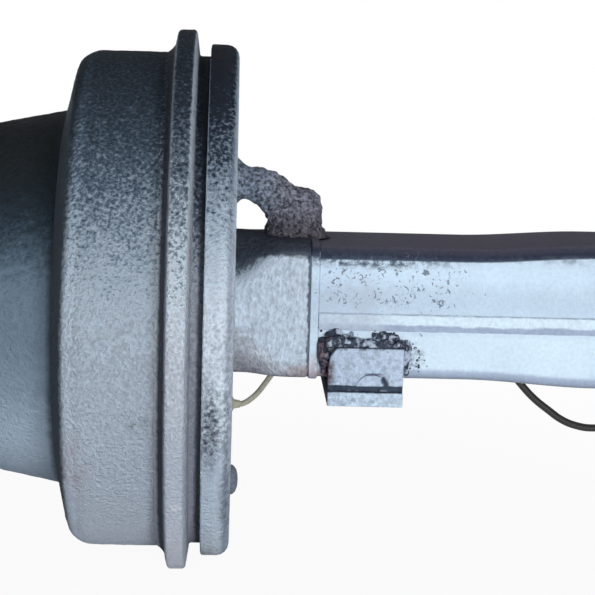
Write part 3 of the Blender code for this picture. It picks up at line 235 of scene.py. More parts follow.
matt = dict(specular=0.03, roughLow=0.7, roughHigh=0.85)
makeFinish("castPaint", ragged=0.31, mottle=0.06, pits=0.14, speckScale=330, bump=1.0, bumpDepth=0.0056, **matt,
    paintedShadeTones=[(-0.97, 721, 795, 912), (-0.65, 498, 572, 689), (-0.15, 457, 540, 640), (0.2, 500, 600, 710),
    (0.38, 305, 392, 490), (0.55, 117, 167, 230), (0.75, 58, 84, 119), (1.0, 29, 39, 52)],
    # painted highlight along the band's rounded shoulder edge
    marks=[shade(-106, -98.5, (1220, 1220, 1220), soft=1.8, wander=2, scale=220, lean=0.03),
    # painted shade on the shoulder's slope, which faces away from the light
    zone(-140, -107.8, (28, 38, 50), soft=2.2, share=0.85, wander=1.4, scale=200, lean=0.03),
    # painted shadow of the flange on the band beside its foot
    shade(-37, -20, (720, 700, 700), soft=4),
    stainAndShade((-45, -208, -70), (12, 30, 12), 0.6, (120, 140, 170), scale=220, cut=0.45),
    stainAndShade((-98, -190, -115), (16, 60, 50), 0.4, (420, 360, 400))])
makeFinish("neckCast", ragged=0.1, mottle=0.05, pits=0.09, speckScale=260, bump=1.0, bumpDepth=0.0036, **matt,
    paintedShadeTones=[(-0.85, 429, 530, 655), (-0.6, 421, 530, 647), (-0.35, 238, 319, 409), (-0.1, 175, 241, 311),
    (0.2, 158, 224, 297), (0.36, 76, 114, 156), (0.52, 30, 46, 63), (0.72, 21, 28, 34), (1.0, 24, 28, 32)],
    # painted shade in the crease where the neck meets the shoulder
    marks=[zone(-122.5, -110, (30, 42, 52), soft=2.5, share=0.7)])
makeFinish("flangePaint", ragged=0.3, mottle=0.03, pits=0.08, speckScale=330, bump=1.0, bumpDepth=0.0042, **matt,
    paintedShadeTones=[(-0.9, 742, 777, 870), (-0.6, 557, 615, 742), (-0.4, 439, 515, 614), (-0.1, 538, 585, 667),
    (0.22, 640, 750, 860), (0.36, 305, 378, 450), (0.52, 140, 180, 240), (0.72, 44, 62, 88), (1.0, 20, 25, 36)],
    # painted shade on the flange's left face and foot, which face away from the light
    marks=[zone(-30.6, -24.6, (30, 32, 46), soft=1.3, share=0.92, wander=0.5),
    # painted shade on the flange's foot by the band, and on the lip in the groove before the cover
    shade(-50, -30.6, (680, 660, 660), soft=2), shade(-6.2, 3, (560, 540, 560)),
    # painted shadow of the cover's rim on the lip
    zone(0.5, 20, (35, 40, 55), soft=1.5, share=0.8),
    stainAndShade((-15, -193.5, -142), (6, 20, 4), 0.9, (900, 920, 950), scale=200, cut=0.42)])
makeFinish("coverPaint", ragged=0.22, mottle=0.13, pits=0.15, blotchScale=40, bump=1.0, bumpDepth=0.004, **matt,
    paintedShadeTones=[(-0.9, 605, 672, 762), (-0.65, 526, 638, 762), (-0.4, 378, 452, 546), (-0.15, 508, 588, 678),
    (0.07, 599, 678, 791), (0.25, 548, 650, 757), (0.42, 373, 458, 559), (0.55, 198, 260, 336), (0.68, 38, 53, 78),
    (0.8, 22, 28, 44), (1.0, 19, 22, 31)],
    # painted shade on the rim's rounded edge, which turns away from the light, and a painted highlight just left of it
    marks=[shade(23.6, 27.5, (680, 680, 720), soft=1.4), shade(16.5, 22.5, (1120, 1120, 1120), soft=2.2, wander=1.5),
    stainAndShade((12.5, -215, -72), (10.8, 50, 50), 1.0, (60, 75, 100), scale=230),
    stainAndShade((10, -90, -208), (20, 50, 20), 0.6, (200, 180, 200), scale=160, cut=0.42),
    stainAndShade((25.8, -175, -145), (9, 70, 65), 0.65, (150, 160, 200), scale=200, cut=0.4),
    stainAndShade((21, -220, -55), (9, 60, 60), 0.6, (780, 860, 930), scale=150, cut=0.48),
    stainAndShade((15, -220, 20), (12, 60, 30), 0.5, (750, 820, 900), scale=150, cut=0.48)])
makeFinish("rootPaint", ragged=0.1, mottle=0.06, pits=0.2, speckScale=260, stretch=(1.0, 1.0, 0.6), bump=1.0,
    bumpDepth=0.0042, **matt,
    paintedShadeTones=[(-1.0, 300, 310, 350), (-0.7, 440, 470, 540), (-0.3, 520, 570, 650), (-0.1, 620, 725, 845),
    (0.3, 615, 720, 840), (0.42, 420, 500, 585), (0.51, 110, 140, 178), (0.64, 45, 58, 78), (0.8, 60, 70, 94),
    (0.94, 130, 140, 165), (1.0, 160, 170, 190)],
    # painted shade on the root's top, where the light doesn't reach
    marks=[zone(48.7, 80, (55, 66, 90), axis=2, soft=1.4, share=0.9, wander=1.6, scale=160),
    # painted shade in the groove left of the root weld
    zone(93.9, 96.6, (70, 90, 130), soft=0.6, share=0.85, wander=1.2, scale=160),
    stainAndShade((46, -45, -50), (30, 30, 22), 0.35, (500, 440, 470), scale=60),
    stainAndShade((97, -62, -57), (30, 20, 14), 0.6, (420, 300, 320), cut=0.28),
    stainAndShade((52, -60, -33), (12, 30, 12), 0.6, (850, 920, 980), cut=0.48)])
makeFinish("beamPaint", ragged=0.018, mottle=0.045, pits=0.05, bumpDepth=0.0008, blotchScale=18, **matt,
    paintedShadeTones=[(-1.0, 300, 335, 410), (-0.75, 345, 415, 540), (-0.3, 375, 465, 610), (-0.07, 555, 690, 820),
    (0.07, 550, 685, 815), (0.135, 70, 90, 130), (0.22, 34, 43, 68), (0.45, 30, 36, 60), (0.8, 72, 74, 110),
    (0.95, 122, 119, 160), (1.0, 135, 130, 170)],
    marks=[zone(0, 22, (480, 600, 740), axis=2, soft=12, share=0.5, wander=4),
    shade(-52, -16, (1160, 1150, 1120), axis=2, soft=4, wander=2),
    shade(26, 45, (1100, 1100, 1100), axis=2, soft=6, wander=4),
    # painted shade along the top corner, where the front turns up away from the light
    stainAndShade((145, -60, 46.8), (100, 20, 8.5), 0.95, (60, 80, 120), scale=170, cut=0.4),
    stainAndShade((400, -60, 50.5), (200, 20, 6), 0.6, (120, 150, 200), cut=0.42),
    stainAndShade((135, -60, 10), (50, 20, 30), 0.35, (420, 450, 540), scale=50),
    stainAndShade((106, -62, -52), (14, 20, 22), 0.7, (450, 300, 320), cut=0.28),
    # dark red-brown beside the saddle: rust, with painted shade on the side away from the light
    stainAndShade((110.5, -62, -42), (9, 20, 26), 0.95, (120, 60, 70)),
    stainAndShade((189, -62, -38), (12, 20, 16), 0.8, (160, 180, 240), scale=200, cut=0.44),
    flakes((165, -60, 26), (100, 30, 40), (130, 160, 230))])
makeFinish("saddlePaint", mottle=0.07, pits=0.2, speckScale=240, bump=0.9, bumpDepth=0.003, specular=0.0,
    paintedShadeTones=[(-0.6, 270, 310, 380), (-0.1, 490, 600, 750), (0.2, 490, 600, 750), (0.6, 120, 140, 180),
    (1.0, 70, 80, 110)],
    marks=[zone(-90, -68, (565, 690, 840), axis=2, soft=0.8, wander=0),
    # painted shade in the groove above the floor
    zone(-67.4, -61.5, (45, 65, 100), axis=2, soft=0.6, share=0.97, wander=1.2, scale=150),
    # painted shade on the saddle's left side face, which faces away from the light
    zone(100, 113.2, (60, 45, 60), soft=0.5, share=0.93, wander=0.5),
    stainAndShade((140, -72.3, -27.3), (50, 12, 4.2), 0.95, (40, 50, 80), scale=200, cut=0.4),
    # painted shadow along the lip's raised edge
    stainAndShade((161.2, -73.5, -56.2), (3.4, 10, 5), 0.95, (40, 55, 90), cut=0.2),
    stainAndShade((163.4, -73.5, -59.4), (3.4, 10, 5.2), 0.95, (40, 55, 90), cut=0.2),
    stainAndShade((153, -73.5, -51.2), (12, 10, 1.6), 0.8, (80, 100, 150), cut=0.25),
    stainAndShade((118, -72, -60.5), (12, 10, 4), 0.8, (40, 55, 90), scale=200, cut=0.42),
    stainAndShade((146, -72.3, -76), (50, 10, 6), 0.6, (160, 200, 280), scale=170, cut=0.5),
    stainAndShade((113.5, -73, -46), (6, 30, 28), 0.9, (100, 50, 60)),
    # painted shade: near black inside the channel, behind the front cheek
    stainAndShade((125, 55, -63), (50, 20, 20), 0.95, (30, 32, 45), cut=0.1)])
makeFinish("gearPaint", ragged=0.1, pits=0.15, bump=0.7, bumpDepth=0.0012,
    paintedShadeTones=[(-0.6, 300, 340, 420), (0.2, 400, 480, 580), (0.7, 120, 140, 180), (1.0, 90, 100, 130)])
makeFinish("roughCast", colour=(170, 205, 250), mottle=0.15, pits=0.2, bump=0.8, bumpDepth=0.0015, roughLow=0.55,
    roughHigh=0.75)
makeFinish("weldMetal", colour=(470, 550, 690), streaks=(30, 40, 68), streakFrom=0.565, streakScale=105, mottle=0.2,
    pits=0.3, bump=0.9, bumpDepth=0.003, blotchScale=80, roughLow=0.55, roughHigh=0.75,
    # dark red-brown on the bead's left end: rust, with painted shade on the side away from the light
    marks=[zone(90, 112.8, (100, 50, 60), soft=1.5, share=0.85, wander=3)])
makeFinish("seamMetal", colour=(640, 780, 900), mottle=0.05, pits=0.08, bump=0.4, bumpDepth=0.0008, blotchScale=60,
    # painted shade on the seam bead's lower half, which faces down
    marks=[zone(-30, -9.2, (340, 420, 560), axis=2, soft=0.9, wander=1.2, scale=50),
    zone(-0.3, 10, (220, 270, 340), axis=2, soft=0.5, share=0.55),
    # paler on the left, where the painted shade below is left out
    zone(90, 162, (500, 580, 700), soft=10, share=0.75, wander=6, scale=60)])
makeFinish("strutMetal", colour=(200, 210, 260), mottle=0.25, pits=0.72, blotchScale=70, bump=1.0, bumpDepth=0.004,
    roughLow=0.55, roughHigh=0.78,
    marks=[zone(0, 60, (210, 260, 340), soft=12, share=0.9, wander=4),
    zone(30, 77, (95, 85, 100), axis=2, soft=12, share=0.85, wander=4)])
makeFinish("groundSteel", colour=(500, 510, 530), mottle=0.06, pits=0.06, metallic=0.85, bump=0.1, roughLow=0.26,
    roughHigh=0.4, specular=0.5)
makeFinish("zincPlate", colour=(550, 540, 470), pits=0.08, metallic=0.8, bump=0.12, roughLow=0.32, roughHigh=0.5,
    specular=0.5)
makeFinish("frictionLining", colour=(150, 125, 105), mottle=0.1, pits=0.35, speckScale=500, roughLow=0.8,
    roughHigh=0.95, specular=0.15)
makeFinish("blackRubber", colour=(20, 20, 21), mottle=0.2, pits=0.2, bump=0.2, specular=0.35)
makeFinish("oliveSleeve", colour=(420, 410, 330), mottle=0.12, pits=0.15, bump=0.3, roughLow=0.6, roughHigh=0.75,
    specular=0.2)
makeFinish("bushBronze", colour=(450, 300, 130), mottle=0.1, pits=0.08, metallic=0.8, bump=0.1, roughLow=0.3,
    roughHigh=0.45, specular=0.5)
print("finishes made:", len(paints))


# shaping
alongX = Matrix.Rotation(math.pi / 2, 4, "Y")  # turns a circle to face along the axle
skinNoise = (0.8, 2.0, 4)  # exponent, step between octaves, octaves


def shift(bm, move):
    bmesh.ops.translate(bm, verts=bm.verts, vec=move)


def faceOut(bm):
    bmesh.ops.recalc_face_normals(bm, faces=bm.faces)


def rounded(bm, geom, width, segments, affect="EDGES", **more):
    bmesh.ops.bevel(bm, geom=geom, offset=width, offset_type="OFFSET", segments=segments, profile=0.5,
                    affect=affect, material=-1, **more)


def softenEdges(bm, width, segments=3, angle=30.0):
    faceOut(bm)
    edges = [e for e in bm.edges if len(e.link_faces) == 2 and e.calc_face_angle() > math.radians(angle)]
    rounded(bm, edges, width, segments, clamp_overlap=True)


def pushOut(bm, faces, move):
    grown = bmesh.ops.extrude_face_region(bm, geom=faces)["geom"]
    bmesh.ops.translate(bm, verts=[g for g in grown if isinstance(g, bmesh.types.BMVert)], vec=move)


def hexagon(bm, radius, height, place):
    bmesh.ops.create_cone(bm, cap_ends=True, segments=6, radius1=radius, radius2=radius, depth=height,
                          matrix=Matrix.Translation(place) @ alongX)


def layAcross(bm, place):
    # turns what lies along X to lie along Y
    bmesh.ops.rotate(bm, verts=bm.verts, cent=(0, 0, 0), matrix=Matrix.Rotation(math.pi / 2, 3, "Z"))
    shift(bm, place)


def cutAcross(bm, place, normal, **more):
    bmesh.ops.bisect_plane(bm, geom=bm.verts[:] + bm.edges[:] + bm.faces[:], plane_co=place, plane_no=normal, **more)


def cutEvenly(bm, start, length, count):
    for k in range(1, count):
        cutAcross(bm, (start + length * k / count, 0, 0), (1, 0, 0))


def profileWire(bm, points):
    # points are (x, r) or (x, r, rounding); the wire is closed
    verts = [bm.verts.new((point[0], 0.0, point[1])) for point in points]
    for first, second in zip(verts, verts[1:] + verts[:1]):
        bm.edges.new((first, second))
    for vert, point in zip(verts, points):
        if len(point) > 2:
            rounded(bm, [vert], point[2], 4, "VERTICES")


def cutLong(bm, spacing):
    for edge in list(bm.edges):
        cuts = int(edge.calc_length() / spacing)
        if cuts:
            bmesh.ops.subdivide_edges(bm, edges=[edge], cuts=cuts)


def turnedShape(points, steps, spacing=1.0, place=(0.0, 0.0, 0.0)):
    bm = bmesh.new()
    profileWire(bm, points)
    cutLong(bm, spacing)
    bmesh.ops.spin(bm, geom=bm.verts[:] + bm.edges[:], cent=(0, 0, 0), axis=(1, 0, 0), angle=2 * math.pi,
                   steps=steps, use_merge=True)
    bmesh.ops.remove_doubles(bm, verts=bm.verts, dist=1e-6)
    bmesh.ops.dissolve_degenerate(bm, edges=bm.edges, dist=1e-7)
    shift(bm, place)
    return bm


def roughen(bm, height, size, seed, share=None):
    # a skin is a height, a size of lumps and a seed
    faceOut(bm)
    bm.normal_update()
    moves = []
    for vert in bm.verts:
        spot = vert.co / size + Vector((seed, seed * 1.7, seed * 0.3))
        lift = height * noise.fractal(spot, *skinNoise)
        moves.append(vert.normal * lift * (share(vert.co) if share else 1.0))
    for vert, move in zip(bm.verts, moves):
        vert.co += move


def plateShape(points, start, end, softness=0.0):
    # an outline in Y and Z, given thickness along the axle
    bm = bmesh.new()
    face = bm.faces.new([bm.verts.new((start, y, z)) for y, z in points])
    pushOut(bm, [face], (end - start, 0, 0))
    faceOut(bm)
    if softness:
        softenEdges(bm, softness)
    return bm


def roundAbout(centre, radius, start, end, steps):
    turn = [math.radians(start + (end - start) * k / steps) for k in range(steps + 1)]
    return [(centre[0] + radius * math.cos(a), centre[1] + radius * math.sin(a)) for a in turn]


def aroundAxle(count, radius, first):
    turns = [2 * math.pi * (k + first) / count for k in range(count)]
    return [(0.0, radius * math.cos(turn), radius * math.sin(turn)) for turn in turns]


def squareUp(ring, half, power):
    # a unit circle across the axle stays round at power 2 and is squarer above it
    for vert in ring:
        for axis in (1, 2):
            vert.co[axis] = half * math.copysign(abs(vert.co[axis]) ** (2 / power), vert.co[axis])


def bridgedRings(turns, steps, squares=None, capped=True):
    # circles set by matrices, bridged in turn
    bm = bmesh.new()
    last = None
    for k, turn in enumerate(turns):
        closed = capped and k in (0, len(turns) - 1)
        ring = bmesh.ops.create_circle(bm, cap_ends=closed, segments=steps, radius=1.0, matrix=turn)["verts"]
        if squares:
            squareUp(ring, *squares[k])
        inRing = set(ring)
        edges = list({e for v in ring for e in v.link_edges if all(w in inRing for w in e.verts)})
        if last:
            bmesh.ops.bridge_loops(bm, edges=last + edges)
        last = edges
    faceOut(bm)
    return bm


def squareRings(sections, steps, capped=True):
    # sections are (x, half width, power)
    turns = [Matrix.Translation((section[0], 0, 0)) @ alongX for section in sections]
    return bridgedRings(turns, steps, [section[1:] for section in sections], capped)


def sweptShape(route, radii, steps):
    turns = []
    for k, (point, radius) in enumerate(zip(route, radii)):
        ahead = Vector(route[min(k + 1, len(route) - 1)]) - Vector(route[max(k - 1, 0)])
        turn = ahead.to_track_quat("Z", "Y").to_matrix().to_4x4()
        turns.append(Matrix.Translation(point) @ turn @ Matrix.Diagonal((radius, radius, radius, 1.0)))
    return bridgedRings(turns, steps)


def curveAt(a, b, c, d, t):
    # a smooth way from b to c
    return ((2 * b) + (c - a) * t + (2 * a - 5 * b + 4 * c - d) * t * t + (3 * b - a - 3 * c + d) * t ** 3) / 2


def smoothRoute(points, spacing, steps=16):
    knots = [Vector(p) for p in points]
    knots = [2 * knots[0] - knots[1]] + knots + [2 * knots[-1] - knots[-2]]
    dense = []
    for four in zip(knots, knots[1:], knots[2:], knots[3:]):
        dense += [curveAt(*four, k / steps) for k in range(steps)]
    dense.append(knots[-2])
    route = [dense[0]]
    for point in dense[1:-1]:
        if (point - route[-1]).length >= spacing and (point - dense[-1]).length >= spacing / 2:
            route.append(point)
    return route + [dense[-1]]


def mergeInto(bm, other):
    mesh = bpy.data.meshes.new("passing")
    other.to_mesh(mesh)
    other.free()
    bm.from_mesh(mesh)
    bpy.data.meshes.remove(mesh)


def settle(piece, body, nodes=()):
    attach(piece, body)
    if nodes:
        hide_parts(*nodes)
    return piece


def finishPiece(name, bm, finish, body, nodes=(), sharp=38.0, merge=1e-6):
    if merge:
        bmesh.ops.remove_doubles(bm, verts=bm.verts, dist=merge)
    faceOut(bm)
    shift(bm, axleAt)
    for face in bm.faces:
        face.smooth = True
    for edge in bm.edges:
        edge.smooth = len(edge.link_faces) == 2 and edge.calc_face_angle() < math.radians(sharp)
    mesh = bpy.data.meshes.new(name)
    bm.to_mesh(mesh)
    bm.free()
    mesh.materials.append(paints[finish])
    return settle(addObject(name, mesh), body, nodes)


# sensor lead: near holds the points measured from the gland, and hung those with Y measured from leadY
low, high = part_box("lead_gland")
glandY, glandZ = (low[1] + high[1]) / 2 - axleAt.y, (low[2] + high[2]) / 2 - axleAt.z
low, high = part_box("lead_plug")
plugY = (low[1] + high[1]) / 2
leadY, leadZ, leadStart = 0.0656, -0.0275, 0.0364
lead = {
    "radius": 0.0035, "bare": 7, "core": 0.62, "sleeve": 0.0026, "sleeveSpacing": 0.0025, "sleeveSteps": 20,
    "near": metres([(0, 0, 0), (4, 0, 0.6), (10, 1, 4), (17.5, 7, 9.8)]),
    "bend": metres([(62.5, 37, -80), (72, 54, -70)]),
    "hung": metres([(83, -1, -59), (96, 3, -45), (110, 2, -34), (124, 0, -28.5), (140, 0, -27.5), (164, 0, -27.5),
        (223, 0, -27.5), (243.4, 0, -27.5), (251.8, 0, -27.5), (268, 1, -36), (281, 3, -53), (293, 4, -73),
        (305, 4, -87.8), (316.5, 4, -99.3), (329.5, 4, -109.3), (343.2, 4, -118.7), (356.6, 4, -123.9), (372, 4, -126),
        (389, 4, -123.5), (405, 4, -114.5), (419, 4, -99), (430, 3, -79), (439, 2, -58), (447, 1, -39),
        (453.2, 0, -27.5), (461.6, 0, -27.5), (478.4, 0, -27.5)]),
    "end": [(0.486, (leadY + plugY) / 2, leadZ), (0.497, plugY, leadZ), (0.51, plugY, leadZ)],
    "boot": metres([(29.4, 0), (29.4, 7), (30.6, 7, 0.5), (31.8, 4.4, 0.6), (37.8, 3.2, 0.4), (37.8, 0)]),
    "socket": metres([(510.3, 0), (510.3, 5.8, 0.6), (513, 6.2), (520.3, 9.8, 1.5), (524.5, 9.8, 0.6),
        (524.5, 9.2, 0.4), (526.3, 9.2, 0.4), (526.3, 9.8, 0.6), (537.1, 9.8, 0.8), (537.1, 7.9, 0.6),
        (554.1, 7.9, 0.8), (554.1, 6.2, 0.4), (548, 6.2), (548, 0)])}
leadRoute = [(leadStart + x, glandY + y, glandZ + z) for x, y, z in lead["near"]] + lead["bend"]
leadRoute += [(x, leadY + y, z) for x, y, z in lead["hung"]] + lead["end"]


def makeLead(lead):
    data = bpy.data.curves.new("sensorLead", "CURVE")
    data.dimensions = "3D"
    data.bevel_depth = lead["radius"]
    data.bevel_resolution = 5
    data.resolution_u = 10
    data.use_fill_caps = True
    spline = data.splines.new("BEZIER")
    spline.bezier_points.add(len(leadRoute) - 1)
    for knot, point in zip(spline.bezier_points, leadRoute):
        knot.co = Vector(point) + axleAt
        knot.handle_left_type = knot.handle_right_type = "AUTO"
    for knot in spline.bezier_points[:lead["bare"]]:
        knot.radius = lead["core"]
    data.materials.append(paints["blackRubber"])
    return settle(addObject("sensorLead", data), "axle", ["sensor_lead"])


sensorLead = makeLead(lead)
sleeveRoute = smoothRoute(leadRoute[:lead["bare"]], lead["sleeveSpacing"])
bm = sweptShape(sleeveRoute, [lead["sleeve"]] * len(sleeveRoute), lead["sleeveSteps"])
leadSleeve = finishPiece("leadSleeve", bm, "oliveSleeve", "axle")
bm = turnedShape(lead["boot"], 32, place=(0.0, glandY, glandZ))
leadBoot = finishPiece("leadBoot", bm, "oliveSleeve", "axle", ["lead_gland"])
bm = turnedShape(lead["socket"], 40, place=(0.0, plugY, leadZ))
leadPlug = finishPiece("leadPlug", bm, "blackRubber", "axle", ["lead_plug"])
exitAt = Vector(leadRoute[0]) + axleAt
print("lead laid")


# drum: rough neck, band and stiffening flange of one casting
drum = {
    "steps": 320, "spacing": 0.003, "skin": (0.0004, 0.008, 7.7),
    "drumNeck": metres([(-119, 166.6), (-205, 149, 6), (-205, 192, 2), (-220, 192, 2), (-220, 130), (-205, 130),
        (-205, 137), (-119, 152.2)]),
    "drumBand": metres([(-33.5, 220), (-100, 220, 10), (-109, 210.5, 5), (-116.5, 179.5, 4), (-119.5, 166.5),
        (-119.5, 152.3), (-109, 154, 4), (-100, 188, 6), (-94, 200, 3), (-33.5, 200)]),
    "drumFlange": metres([(10, 203, 1), (10, 217, 1.5), (-5.2, 217, 2), (-8.5, 240, 2.5), (-23.5, 240, 2.5),
        (-26.8, 224.5, 4), (-33.5, 220), (-33.5, 200), (-8, 200, 1), (-8, 203, 1)])}


def castSkin(spot):
    # only the outside is rough
    away = math.hypot(spot.y, spot.z)
    if -0.204 < spot.x < -0.1196:  # the neck's cone
        return 1.0 if away > 0.1525 + 0.17 * (spot.x + 0.119) else 0.0
    if -0.118 < spot.x < -0.006:  # band, shoulder and flange
        return 1.0 if away > 0.205 or (spot.x < -0.105 and away > 0.168) else 0.0
    return 0.0


for name, finish in (("drumNeck", "neckCast"), ("drumBand", "castPaint"), ("drumFlange", "flangePaint")):
    bm = turnedShape(drum[name], drum["steps"], drum["spacing"])
    roughen(bm, *drum["skin"], castSkin)
    finishPiece(name, bm, finish, "hub", ["brake_drum"])

# hub, studs with their threads, nuts and the cap
hub = {
    "steps": 128, "spacing": 0.008, "skin": (0.0004, 0.014, 5.3), "rough": (-0.29, -0.2545),
    "profile": metres([(-12.75, 95.6, 1), (-144, 95.6, 6), (-205, 127.7, 2), (-207, 129.7), (-220.3, 129.7),
        (-220.3, 192, 1), (-240.3, 192, 3), (-240.3, 140.5, 2), (-251.3, 140.5, 1), (-253.3, 138.5, 1),
        (-253.3, 100, 4), (-262, 87.5, 4), (-290.3, 85, 1), (-290.3, 62.9), (-211, 62.9), (-211, 53.9), (-83.5, 66.4),
        (-83.5, 75.4), (-12.75, 75.4)])}
bm = turnedShape(hub["profile"], hub["steps"], hub["spacing"])
low, high = hub["rough"]
roughen(bm, *hub["skin"], lambda spot: 1.0 if low < spot.x < high else 0.0)
finishPiece("hubCasting", bm, "roughCast", "hub", ["wheel_hub"])

studs = {
    "count": 10, "circle": 0.1675, "radius": 0.011, "root": 0.0102, "pitch": 0.0015, "thread": (-0.243, -0.2975),
    "head": metres([(-194.7, 0), (-194.7, 15.2, 1.5), (-204.7, 15.5)]), "end": -0.3003,
    "nutAcross": 0.032, "nutHeight": 0.022, "nutStart": -0.2403 - 0.0038, "nutEdge": 0.0012,
    "washer": metres([(-240.4, 11.5), (-240.4, 23.2, 0.8), (-241.8, 23.2, 0.6), (-244.1, 19.6, 0.5), (-244.1, 11.5)])}


def makeStud(studs, spot):
    radius, (x, last) = studs["radius"], studs["thread"]
    points = studs["head"] + [(-0.2047, radius), (x, radius)]
    while x > last:
        points += [(x, studs["root"]), (x - studs["pitch"] / 2, radius)]
        x -= studs["pitch"]
    points += [(x, 0.0095), (studs["end"], 0.0088), (studs["end"], 0.0)]
    return turnedShape(points, 20, place=spot)


def makeNut(studs, spot):
    # hexagon with softened ends, on its captive washer
    bm = bmesh.new()
    bmesh.ops.create_circle(bm, cap_ends=True, segments=6, radius=studs["nutAcross"] / math.sqrt(3),
                            matrix=Matrix.Translation((studs["nutStart"], 0, 0)) @ alongX)
    pushOut(bm, bm.faces[:], (-studs["nutHeight"], 0, 0))
    faceOut(bm)
    rim = [e for e in bm.edges if abs(e.verts[0].co.x - e.verts[1].co.x) < 1e-6]
    rounded(bm, rim, studs["nutEdge"], 2)
    mergeInto(bm, turnedShape(studs["washer"], 36))
    shift(bm, spot)
    return bm


studNodes = ["wheel_stud_%d" % (k + 1) for k in range(studs["count"])]
for name, make, nodes in (("wheelStuds", makeStud, studNodes), ("wheelNuts", makeNut, ())):
    bm = bmesh.new()
    for spot in aroundAxle(studs["count"], studs["circle"], 0.5):
        mergeInto(bm, make(studs, spot))
    finishPiece(name, bm, "zincPlate", "hub", nodes)

cap = {
    "screws": 6, "screwAt": -0.2984, "screwCircle": 0.0815, "screwRadius": 0.0036, "screwHeight": 0.004,
    "profile": metres([(-290.6, 62.9), (-290.6, 85, 1), (-296.6, 85, 1.5), (-297.6, 79, 2), (-318, 76.5, 6),
        (-330.6, 64, 3), (-330.6, 46, 1), (-328.6, 44, 1), (-328.6, 0), (-324.6, 0), (-324.6, 50)])}
bm = turnedShape(cap["profile"], 96)
for x, y, z in aroundAxle(cap["screws"], cap["screwCircle"], 0):
    hexagon(bm, cap["screwRadius"], cap["screwHeight"], (cap["screwAt"], y, z))
finishPiece("hubCap", bm, "gearPaint", "hub", ["hub_cap"])
print("drum and hub made")

# dust cover with its pressed rib, two bolts and a bung
cover = {
    "steps": 256, "spacing": 0.005, "skin": (0.0003, 0.01, 1.9), "roughFrom": 0.225,
    "profile": metres([(23.8, 64.8), (23.8, 215.6, 6), (5, 221.6), (5, 227.6, 2), (29.8, 227.6, 11), (29.8, 196, 2),
        (28, 192, 2), (28, 184, 2), (29.8, 180, 2), (29.8, 64.8, 1)]),
    "boltAt": (0.09, 0.034), "boltRadius": 0.0095, "boltStart": 0.0301, "boltHeight": 0.008,
    "bungAt": (0.0, -0.06, -0.1505),
    "bung": metres([(29.4, 0), (29.4, 8.6), (30.1, 13.3, 0.5), (31.8, 13.1, 1), (34.5, 10.5, 1.5), (36.2, 6, 2),
        (36.6, 0)])}
bm = turnedShape(cover["profile"], cover["steps"], cover["spacing"])
roughen(bm, *cover["skin"], lambda spot: 1.0 if math.hypot(spot.y, spot.z) > cover["roughFrom"] else 0.0)
finishPiece("coverDish", bm, "coverPaint", "axle", ["dust_cover"])


def hexHead(place, radius, start, height):
    # a bolt's head on a thin washer
    bm = bmesh.new()
    hexagon(bm, radius, height, (start + height / 2, 0, 0))
    softenEdges(bm, 0.0009, 2, 40.0)
    wide, end = radius * 1.16, start + 0.0016
    mergeInto(bm, turnedShape([(start, 0.0), (start, wide, 0.0003), (end, wide, 0.0003), (end, 0.0)], 28))
    shift(bm, place)
    return bm


for k, side in enumerate((1, -1)):
    place = (0.0, cover["boltAt"][0], side * cover["boltAt"][1])
    bm = hexHead(place, cover["boltRadius"], cover["boltStart"], cover["boltHeight"])
    finishPiece("coverBolt%d" % (k + 1), bm, "zincPlate", "axle", ["dust_cover_bolt_%d" % (k + 1)])
bm = turnedShape(cover["bung"], 40, place=cover["bungAt"])
finishPiece("coverBung", bm, "roughCast", "axle", ["inspection_plug"])

# spindle root, round at the cover and square at the beam, with the journals inside the hub
root = {
    "steps": 128,
    "sections": [
        (0.0055, 0.0645, 2.0), (0.0238, 0.0645, 2.0), (0.0298, 0.0645, 2.0), (0.0355, 0.0643, 2.06),
        (0.043, 0.0636, 2.4), (0.05, 0.0628, 3.1), (0.057, 0.0619, 4.4), (0.064, 0.0613, 6.2), (0.0715, 0.061, 7.6),
        (0.08, 0.061, 8.0), (0.0925, 0.061, 8.0), (0.0958, 0.0603, 8.0)],
    "journals": metres([(5.5, 0), (5.5, 56, 1), (-38, 56, 1), (-38, 45, 1), (-86.3, 45, 1), (-208.3, 32.5, 1),
        (-252.3, 32.5, 1), (-252.3, 27.5), (-288.3, 27.5, 1), (-288.3, 0)])}
bm = squareRings(root["sections"], root["steps"])
mergeInto(bm, turnedShape(root["journals"], 64))
finishPiece("spindleForging", bm, "rootPaint", "axle", ["axle_spindle"], merge=0)

# beam: two pressed channels, waisted and flared
beam = {
    "start": 0.1039, "length": 0.452, "depth": 0.06, "waist": 0.0583, "end": 0.064, "flareFrom": 0.13,
    "flareLength": 0.115, "wall": 0.01, "corner": 0.012, "inside": 0.003, "cuts": 40, "seam": -0.006, "gap": 0.0008}


def beamHalf(station):
    t = min(1.0, max(0.0, (station - beam["flareFrom"]) / beam["flareLength"]))
    return beam["waist"] + (beam["end"] - beam["waist"]) * t * t * (3 - 2 * t)


def makeChannel(side):
    depth, wall, waist, corner = beam["depth"], beam["wall"], beam["waist"], beam["corner"]
    lip = beam["gap"] + side * beam["seam"]
    points = [(depth, lip), (depth, waist), (-depth, waist), (-depth, lip), (wall - depth, lip),
              (wall - depth, waist - wall), (depth - wall, waist - wall), (depth - wall, lip)]
    bm = bmesh.new()
    verts = [bm.verts.new((beam["start"], y, side * z)) for y, z in points]
    bm.faces.new(verts)
    for k, radius in ((1, corner), (2, corner), (5, beam["inside"]), (6, beam["inside"])):
        rounded(bm, [verts[k]], radius, 9, "VERTICES")
    pushOut(bm, bm.faces[:], (beam["length"], 0, 0))
    cutAcross(bm, (0, 0, side * (waist - corner - 0.002)), (0, 0, 1))
    cutEvenly(bm, beam["start"], beam["length"], beam["cuts"])
    for vert in bm.verts:
        if side * vert.co.z > waist / 2:
            vert.co.z += side * (beamHalf(vert.co.x - beam["start"]) - waist)
    faceOut(bm)
    return bm


